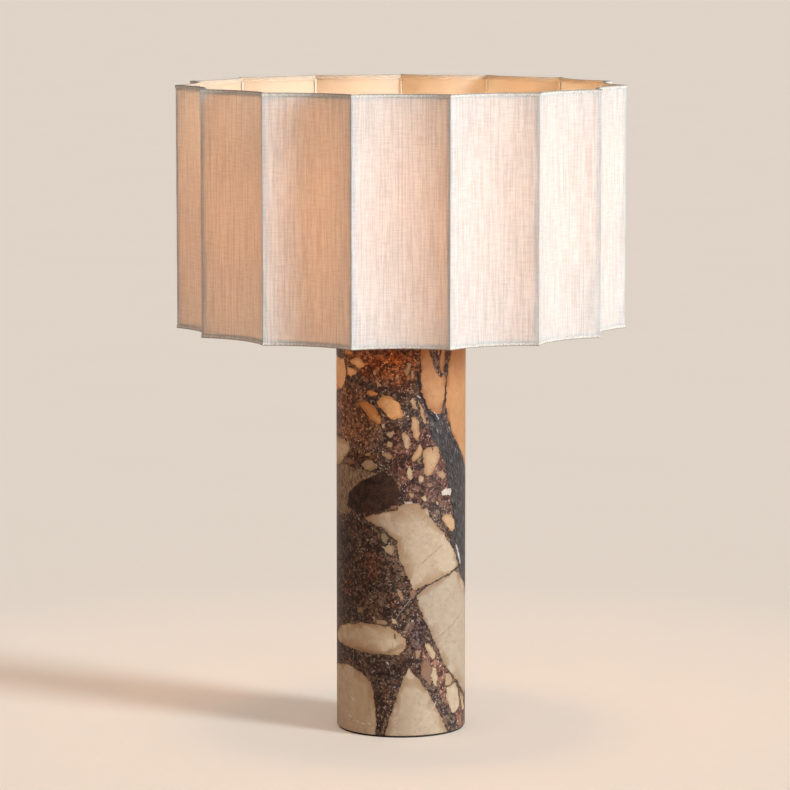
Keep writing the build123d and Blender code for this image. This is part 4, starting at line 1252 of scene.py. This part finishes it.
clasts = [
    (of_slate, 1, [(29, 328), (45, 331), (51, 323), (62, 303), (80, 284), (70, 268), (50, 274), (33, 302)]),
    (of_slate, 1, [(48, 290), (66, 296), (92, 275), (112, 250), (112, 195), (76, 195), (61, 222), (52, 262)]),
    (of_slate, 1, [(61, 226), (112, 215), (112, 140), (92, 140), (84, 150), (68, 174), (55, 200)]),
    (of_olive, 3, [(-113, 276), (-70, 272), (-24, 277), (-20, 270), (-40, 243), (-60, 224), (-72, 221), (-131, 228)]),
    (of_lens, 2, [(-64, 231), (-59, 244), (-46, 255), (-20, 270), (-9, 266), (1, 246), (-8, 232), (-45, 225)]),
    # painted light: these clasts on the left use the lightened tan
    (tan_painted_lighter, 3, [(-113, 380), (-69, 378), (-64, 366), (-66, 358), (-74, 349), (-117, 334), (-130, 358)]),
    (tan_painted_lighter, 2, [(-58, 377), (-50, 382), (-42, 381), (-36, 376), (-40, 372), (-44, 370)]),
    (tan_painted_lighter, 2, [(-62, 371), (-50, 370), (-48, 366), (-57, 362), (-63, 364)]),
    (tan, 2, [(-66, 388), (-52, 388), (-55, 383), (-68, 382)]),
    (olive_tan, 2, [(6, 378), (10, 377), (9, 370), (6, 364), (4, 368)]),
    (olive_tan, 2, [(10, 370), (13, 370), (14, 363), (12, 362), (10, 365)]),
    (brown_cream, 1, [(-28, 370), (-25, 371), (-24, 366), (-27, 363), (-29, 366)]),
    (brown_cream, 1, [(-5, 366), (-2, 366), (-1, 362), (-5, 361)]),
    (brown_cream, 1, [(-26, 360), (-22, 359), (-18, 356), (-19, 354), (-24, 355)]),
    (tan, 2, [(-36, 346), (-35, 349), (-31, 350), (-23, 348), (-24, 345), (-29, 344)]),
    (orange_tan, 5, [(-24, 338), (-20, 344), (-14, 346), (-8, 344), (-2, 339), (3, 327), (2, 324), (-8, 321), (-14, 325)]),
    (tan, 5, [(-46, 335), (-42, 338), (-33, 338), (-25, 332), (-20, 323), (-21, 315), (-29, 319), (-40, 329)]),
    (dim_cream, 2, [(9, 340), (13, 343), (15, 338), (16, 332), (13, 333)]),
    (dim_cream, 2, [(17, 343), (19, 338), (24, 328), (27, 317), (24, 317), (19, 330)]),
    (light_tan, 3, [(10, 324), (16, 325), (18, 318), (21, 312), (19, 304), (16, 300), (12, 306), (10, 315)]),
    (dim_cream, 3, [(0, 306), (4, 310), (8, 304), (10, 296), (8, 292), (3, 292), (2, 299)]),
    (dim_cream, 1, [(-20, 316), (-17, 317), (-16, 313), (-19, 312)]),
    (brown_cream, 2, [(-14, 309), (-7, 310), (-5, 307), (-10, 303), (-14, 305)]),
    (olive_tan, 2, [(-13, 300), (-8, 299), (-8, 293), (-14, 292)]),
    (cream_painted_lighter, 6, [(-112, 300), (-60, 297), (-58, 289), (-67, 280), (-78, 272), (-118, 263), (-131, 281)]),
    (pink_brown, 2, [(-70, 274), (-64, 280), (-53, 279), (-50, 275), (-59, 273)]),
    (olive_tan, 1, [(-38, 286), (-31, 288), (-30, 284), (-37, 283)]),
    (brown_cream, 3, [(-44, 275), (-38, 279), (-30, 280), (-24, 274), (-30, 269), (-38, 270)]),
    (brown_cream, 2, [(-19, 287), (-12, 288), (-8, 284), (-11, 281), (-18, 284)]),
    (dim_cream, 2, [(7, 271), (10, 275), (12, 269), (12, 262), (9, 260), (7, 264)]),
    (dim_cream, 1, [(17, 263), (21, 265), (24, 263), (23, 259), (20, 257), (17, 260)]),
    (light_tan, 2, [(20, 297), (22, 291), (20, 284), (13, 279), (11, 283), (15, 291)]),
    (grey_olive, 1, [(17, 282), (21, 283), (20, 276), (18, 277)]),
    (light_tan, 3, [(22, 290), (27, 293), (40, 293), (43, 284), (36, 270), (31, 264), (26, 264), (23, 271)]),
    (of_ground, 0, [(32, 297), (37, 297), (35, 289)]),
    (brown_cream, 2, [(38, 267), (46, 269), (50, 263), (45, 260), (40, 263)]),
    (pink_brown, 1, [(27, 257), (32, 258), (33, 253), (29, 252)]),
    (white_vein, 1, [(43, 248), (50, 250), (58, 249), (58, 243), (52, 242), (45, 244)]),
    (brown_cream, 1, [(8, 248), (13, 248), (14, 244), (10, 243)]),
    (dim_cream, 1, [(21, 243), (25, 244), (28, 239), (23, 238)]),
    (dim_cream, 1, [(37, 238), (40, 238), (40, 234), (38, 234)]),
    (white_vein, 1, [(3, 239), (12, 239), (13, 236), (6, 235)]),
    (pink_brown, 1, [(-11, 235), (-4, 236), (-3, 233), (-12, 231)]),
    (light_tan, 3, [(44, 219), (47, 224), (56, 223), (62, 216), (64, 208), (59, 205), (52, 211)]),
    (warm_tan, 5, [(20, 400), (28, 400), (50, 360), (46, 336), (42, 326), (36, 326), (27, 333), (21, 350)]),
    (of_ground, 1, [(28, 400), (56, 400), (51, 372), (44, 362), (36, 371), (32, 382)]),
    (warm_tan, 1, [(38, 400), (41, 400), (40, 385), (38, 384)]),
    (warm_tan, 3, [(43, 400), (49, 400), (48, 381), (46, 368), (44, 366), (41, 373), (42, 384)]),
    (warm_tan, 4, [(61, 405), (51, 362), (49, 332), (56, 310), (72, 289), (97, 262), (140, 262), (140, 405)]),
    (
        cream,
        9,
        [(-54, 222), (-36, 229), (-10, 230), (4, 234), (30, 230), (30, 205), (2, 195), (-10, 203)],
        [(-4, 190), (-2, 234), (8, 237), (22, 236), (34, 231), (48, 217), (57, 200), (64, 184), (77, 169), (40, 158), (13, 148)],
    ),
    (of_ground, 1, [(-60, 218), (-44, 219), (-28, 216), (-16, 212), (-9, 204), (-4, 195), (-10, 185), (-60, 185)]),
    (grey_olive, 1, [(-20, 206), (-15, 208), (-12, 203), (-14, 197), (-19, 199)]),
    (pink_brown, 1, [(-28, 211), (-23, 211), (-24, 207), (-27, 208)]),
    (brown_cream, 2, [(-19, 194), (-12, 197), (-7, 195), (-6, 189), (-10, 185), (-15, 189)]),
    (
        shell_cream,
        8,
        [(16, 145), (20, 149), (31, 155), (52, 162), (70, 166), (84, 152), (130, 120), (130, 60), (88, 34), (76, 45),
         (52, 67), (40, 87), (31, 105), (20, 129)],
    ),
    (pink_brown, 1, [(9, 148), (13, 153), (17, 147), (12, 140)]),
    (brown_cream, 1, [(-4, 152), (0, 150), (3, 141), (-1, 141)]),
    (dim_cream, 1, [(-10, 122), (-6, 122), (-4, 117), (-8, 116)]),
    (grey_olive, 1, [(-49, 131), (-42, 131), (-40, 125), (-47, 124)]),
    (olive_tan, 1, [(-26, 120), (-14, 120), (-13, 116), (-24, 115)]),
    (
        cream_painted_lighter,
        7,
        [(-92, 97), (-80, 107), (-58, 112), (-40, 115), (-27, 115), (-10, 113), (-1, 106), (6, 98), (5, 91), (-3, 84),
         (-19, 81), (-51, 86), (-84, 87)],
    ),
    (cream_painted_lighter, 6, [(-116, 66), (-72, 69), (-60, 71), (-50, 67), (-35, 60), (-29, 52), (-27, 35), (-25, 20), (-26, -9), (-124, -9), (-135, 26)]),
    (cream, 8, [(10, 75), (6, 69), (-3, 47), (-9, 27), (-17, 5), (-18, -9), (64, -9), (61, 8), (53, 23), (41, 36), (16, 65)]),
    (pink_brown, 3, [(20, 73), (25, 79), (29, 77), (33, 69), (32, 55), (29, 52), (21, 64)]),
    (dim_cream, 3, [(24, 96), (29, 96), (37, 84), (36, 79), (32, 79), (26, 88)]),
    (brown_cream, 2, [(14, 88), (19, 89), (20, 82), (15, 80)]),
    (dim_cream, 2, [(33, 71), (38, 70), (40, 60), (38, 51), (34, 54), (32, 62)]),
    (brown_cream, 2, [(50, 63), (55, 63), (62, 54), (58, 50), (50, 50)]),
    (cream, 2, [(51, 48), (65, 51), (71, 42), (75, 30), (70, 21), (61, 19), (55, 27), (50, 38)]),
    (dim_cream, 2, [(76, 41), (84, 33), (90, 20), (81, 19), (77, 28)]),
    (pink_brown, 1, [(73, 18), (80, 16), (82, 4), (76, 6)]),
]

dark_seam = (0.035, 0.022, 0.018)
brown_seam = (0.28, 0.15, 0.08)
pale_seam = (0.62, 0.50, 0.42)
pink_seam = (0.42, 0.28, 0.22)
white_fleck = (0.82, 0.72, 0.62)
seams = [
    ([(60, 395), (52, 372), (49, 350), (48, 338), (45, 329)], 1.0, 0.95, dark_seam),
    ([(17, 366), (19, 352), (22, 343), (25, 333), (31, 325), (36, 318)], 1.5, 1.0, (0.012, 0.007, 0.008)),
    ([(20, 397), (19, 366), (20, 354)], 0.8, 0.8, dark_seam),
    ([(30, 352), (31, 344), (33, 337)], 0.5, 0.5, brown_seam),
    ([(35, 327), (39, 321)], 0.7, 0.8, pale_seam),
    ([(-58, 375), (-50, 374), (-44, 369)], 0.7, 0.8, dark_seam),
    ([(46, 214), (52, 207), (56, 199), (60, 189)], 1.1, 0.9, dark_seam),
    ([(66, 190), (71, 180), (75, 172)], 1.6, 0.7, pale_seam),
    ([(76, 170), (68, 167), (52, 163), (40, 159), (30, 155), (22, 150), (16, 146)], 0.8, 0.9, dark_seam),
    ([(17, 147), (14, 141), (8, 134), (0, 127), (-4, 120)], 1.3, 0.95, dark_seam),
    ([(10, 143), (4, 134), (-1, 128), (-6, 120)], 0.5, 0.7, pink_seam),
    ([(22, 178), (33, 186), (44, 193)], 0.9, 0.6, brown_seam),
    ([(-50, 89), (-30, 86), (-12, 87), (2, 94)], 2.4, 0.6, brown_seam),
    ([(3, 198), (3, 191), (1, 188)], 0.6, 0.6, brown_seam),
    ([(36, 98), (60, 111), (76, 120)], 0.9, 0.6, brown_seam),
    ([(37, 35), (29, 25), (20, 13)], 0.35, 0.8, pale_seam),
    ([(18, 8), (12, 2)], 0.35, 0.7, pale_seam),
    ([(-6, 105), (-6, 102)], 1.5, 0.8, dark_seam),
    ([(-7, 98), (-8, 92)], 0.7, 0.35, dark_seam),
    ([(58, 62), (66, 52), (74, 46), (80, 34), (82, 22)], 0.5, 0.85, dark_seam),
    ([(-13, 76), (-12, 75)], 0.8, 0.9, pale_seam),
    ([(-56, 37), (-53, 35)], 1.0, 0.80, white_fleck),
    ([(-60, 20), (-57, 18)], 0.9, 0.75, white_fleck),
    ([(-50, 15), (-46, 13)], 0.7, 0.70, white_fleck),
    ([(-42, 12), (-38, 12)], 1.0, 0.80, white_fleck),
    ([(-35, 13), (-32, 12)], 0.8, 0.75, white_fleck),
    ([(-85, 262), (-70, 276), (-56, 291), (-38, 308)], 0.8, 0.6, brown_seam),
    ([(-98, 330), (-80, 322), (-60, 306)], 0.7, 0.6, brown_seam),
]
print("clasts:", len(clasts), " patches:", len(patches), " seams:", len(seams))


# %% Marble finish
def facets_of(corners):
    """The ring's edges as three numbers each, so that their product with (across, up, 1) is the depth inside."""
    pairs = list(zip(corners, corners[1:] + corners[:1]))
    turn = 1 if sum(x0 * y1 - x1 * y0 for (x0, y0), (x1, y1) in pairs) > 0 else -1
    edges = []
    for (x0, y0), (x1, y1) in pairs:
        inward = Vector((y0 - y1, x1 - x0)).normalized() * turn
        edges.append((inward.x, inward.y, -(inward.x * x0 + inward.y * y0)))
    return edges


def depth_inside(tree, where, corners):
    """How deep a place lies inside a ring of corners."""
    edges = facets_of(corners)
    across = [corner[0] for corner in corners]
    depth = None
    for first in range(0, len(edges), facets_in_group):
        sockets = {"Place": where, "Rounding": 0.8 if max(across) - min(across) < 20 else 1.8}
        for index, edge in enumerate(edges[first : first + facets_in_group]):
            sockets[f"Edge {index}"] = edge
        if depth is not None:
            sockets["Depth"] = depth
        depth = use_group(tree, four_facets, sockets)["Depth"]
    return depth


def cells(tree, where, size):
    """Angular cells: the distance to the nearest edge as a share of the cell's size, and three random values."""
    closer = place(tree, "VectorMath", {0: where, "Scale": 1.0 / size}, operation="SCALE").outputs[0]
    sockets = {"Vector": closer, "Scale": 1.0, "Randomness": 1.0}
    edge = place(tree, "TexVoronoi", sockets, feature="DISTANCE_TO_EDGE").outputs["Distance"]
    colour = place(tree, "TexVoronoi", sockets, feature="F1").outputs["Color"]
    random = place(tree, "SeparateColor", {0: colour}).outputs
    return edge, random


def marble_finish():
    """Honed violet breccia marble."""
    finish, tree, shader = new_finish("violet_breccia_marble")
    here = object_place(tree)
    stone = use_group(tree, unrolled_stone, {"Place": here})
    solid, flat = stone["Solid"], stone["Unrolled"]

    slow = cloud(tree, here, 0.030, 2.0, 0.5)
    mottle = cloud(tree, solid, 0.13, 5.0, 0.62)
    wear = step_between(tree, cloud(tree, here, 0.06, 1.0, 0.5), 0.38, 0.62, 0.15, 1.7)
    grit = cloud(tree, here, 0.9, 3.0, 0.75)
    chips = cloud(tree, here, 0.30, 4.0, 0.72)
    ground = mix_colours(tree, step_between(tree, mottle, 0.35, 0.65), (0.020, 0.010, 0.008), (0.085, 0.034, 0.020))
    ground = mix_colours(tree, step_between(tree, slow, 0.45, 0.62, 0.0, 0.6), ground, (0.045, 0.034, 0.034))
    for size, least, low, high, amount in ((9.0, 0.46, 0.05, 0.10, 0.55), (3.6, 0.46, 0.05, 0.14, 0.80)):
        edge, random = cells(tree, solid, size)
        mask = work_out(tree, "MULTIPLY", step_between(tree, edge, low, high), step_between(tree, random[0], least, least + 0.08))
        mask = work_out(tree, "MULTIPLY", mask, step_between(tree, chips, 0.36, 0.56, 0.1 * amount, amount))
        piece = mix_colours(tree, random[1], (0.11, 0.042, 0.023), (0.37, 0.21, 0.13))
        ground = mix_colours(tree, mask, ground, piece)
    ground = mix_colours(tree, step_between(tree, chips, 0.53, 0.63, 0.0, 0.60), ground, (0.22, 0.105, 0.062))
    ground = mix_colours(tree, step_between(tree, chips, 0.46, 0.36, 0.0, 0.85), ground, (0.014, 0.007, 0.006))
    edge, random = cells(tree, solid, 1.9)
    specks = work_out(tree, "MULTIPLY", step_between(tree, edge, 0.08, 0.22), step_between(tree, random[0], 0.78, 0.84))
    bright = mix_colours(tree, random[1], (0.30, 0.17, 0.11), (0.70, 0.52, 0.40))
    ground = mix_colours(tree, work_out(tree, "MULTIPLY", specks, step_between(tree, grit, 0.40, 0.60, 0.2, 1.0)), ground, bright)
    ground = mix_colours(tree, step_between(tree, grit, 0.47, 0.38, 0.0, 0.6), ground, (0.016, 0.009, 0.008))

    # the slate band's streaks follow its slant, and the lens has faint clouds of brown
    across = place(tree, "VectorMath", {0: flat, 1: (0.95, 0.33, 0.0)}, operation="DOT_PRODUCT").outputs["Value"]
    along = place(tree, "VectorMath", {0: flat, 1: (0.0, 0.16, 0.0)}, operation="DOT_PRODUCT").outputs["Value"]
    drawn_out = place(tree, "CombineXYZ", {0: across, 1: along, 2: 0.0}).outputs[0]
    streak = cloud(tree, drawn_out, 0.8, 4.0, 0.7)
    slate = mix_colours(tree, step_between(tree, streak, 0.38, 0.60), (0.011, 0.009, 0.009), (0.080, 0.061, 0.056))
    slate = mix_colours(tree, step_between(tree, streak, 0.60, 0.68, 0.0, 0.8), slate, (0.42, 0.32, 0.27))
    lens = mix_colours(tree, step_between(tree, mottle, 0.35, 0.65), (0.016, 0.007, 0.005), (0.062, 0.025, 0.014))
    lens = mix_colours(tree, step_between(tree, grit, 0.52, 0.66, 0.0, 0.5), lens, (0.12, 0.065, 0.045))

    olive = mix_colours(tree, step_between(tree, streak, 0.40, 0.60), (0.12, 0.062, 0.034), (0.40, 0.25, 0.14))
    olive = mix_colours(tree, step_between(tree, chips, 0.44, 0.36, 0.0, 0.8), olive, (0.05, 0.026, 0.016))

    colour = ground
    for tint, softness, corners in patches:
        moved = use_group(tree, nibbled_place, {"Place": flat, "Below": colour})["Place"]
        sockets = {"Below": colour, "Depth": depth_inside(tree, moved, corners), "Softness": softness, "Tint": (*tint, 1)}
        colour = use_group(tree, tinted_patch, sockets)["Colour"]
    textured = {of_ground: colour, of_slate: slate, of_lens: lens, of_olive: olive}

    # the far side: small and large cells with ragged, stained edges
    behind = step_between(tree, place(tree, "SeparateXYZ", {0: here}).outputs[1], -6.0, 12.0)
    for size, least in ((17.0, 0.58), (33.0, 0.60), (74.0, 0.46)):
        edge, random = cells(tree, solid, size)
        ragged = work_out(tree, "MULTIPLY_ADD", mottle, 0.26, edge)
        mask = work_out(tree, "MULTIPLY", step_between(tree, ragged, 0.185, 0.20), step_between(tree, random[0], least, least + 0.02))
        mask = work_out(tree, "MULTIPLY", mask, behind)
        far_clast = mix_colours(tree, random[1], warm_tan, pale_cream)
        far_clast = mix_colours(tree, step_between(tree, mottle, 0.3, 0.7, 0.0, 0.4), far_clast, brown_cream)
        far_clast = mix_colours(tree, step_between(tree, ragged, 0.19, 0.30, 0.6, 0.0), far_clast, brown_seam)
        colour = mix_colours(tree, mask, colour, far_clast)

    for rock, stain_depth, *rings in clasts:
        moved = use_group(tree, nibbled_place, {"Place": flat, "Below": colour, "Amount": 3.0})["Place"]
        depth = None
        for corners in rings:
            inside = depth_inside(tree, moved, corners)
            depth = inside if depth is None else work_out(tree, "MAXIMUM", depth, inside)
        sockets = {"Below": colour, "Depth": depth, "Mottle": mottle, "Wear": wear, "Stain depth": stain_depth}
        if rock in textured:
            sockets.update({"Stone": textured[rock], "Stain": textured[rock], "Rim": 0.3})
        else:
            sockets["Stone"] = (*rock, 1)
            sockets["Stain"] = (rock[0] * 0.66, rock[1] * 0.52, rock[2] * 0.40, 1)
        colour = use_group(tree, inlaid_clast, sockets)["Colour"]
    for route, width, strength, filling in seams:
        for start, end in zip(route, route[1:]):
            moved = use_group(tree, nibbled_place, {"Place": flat, "Below": colour, "Amount": 0.6})["Place"]
            sockets = {"Below": colour, "Place": moved, "Width": width, "Strength": strength, "Filling": (*filling, 1)}
            sockets["Start"] = (*start, 1)
            sockets["Way"] = (end[0] - start[0], end[1] - start[1], 0)
            colour = use_group(tree, healed_seam, sockets)["Colour"]
    # hairline veins of rust run through the pale stones only
    lightness = place(tree, "RGBToBW", {0: colour}).outputs[0]
    beside_vein = work_out(tree, "ABSOLUTE", work_out(tree, "SUBTRACT", cloud(tree, solid, 0.035, 5.0, 0.62), 0.5))
    vein = work_out(tree, "MULTIPLY", step_between(tree, beside_vein, 0.0, 0.010, 0.42, 0.0),
                    step_between(tree, lightness, 0.14, 0.28))
    colour = mix_colours(tree, vein, colour, (0.24, 0.11, 0.05))
    colour = mix_colours(tree, step_between(tree, grit, 0.30, 0.70, 0.0, 0.12), colour, (0.10, 0.06, 0.04))
    join(tree, colour, shader, "Base Color")
    lightness = place(tree, "RGBToBW", {0: colour}).outputs[0]
    smooth = step_between(tree, lightness, 0.03, 0.4, 0.40, 0.46)
    join(tree, work_out(tree, "ADD", smooth, work_out(tree, "MULTIPLY", grit, 0.10)), shader, "Roughness")
    shader.inputs["Specular IOR Level"].default_value = 0.12
    join(tree, bump(tree, grit, 0.05 * mm), shader, "Normal")
    return finish


column = frame["nodes"]["marble_column"]
column.data.materials.clear()
column.data.materials.append(marble_finish())
print("marble nodes:", len(column.data.materials[0].node_tree.nodes))
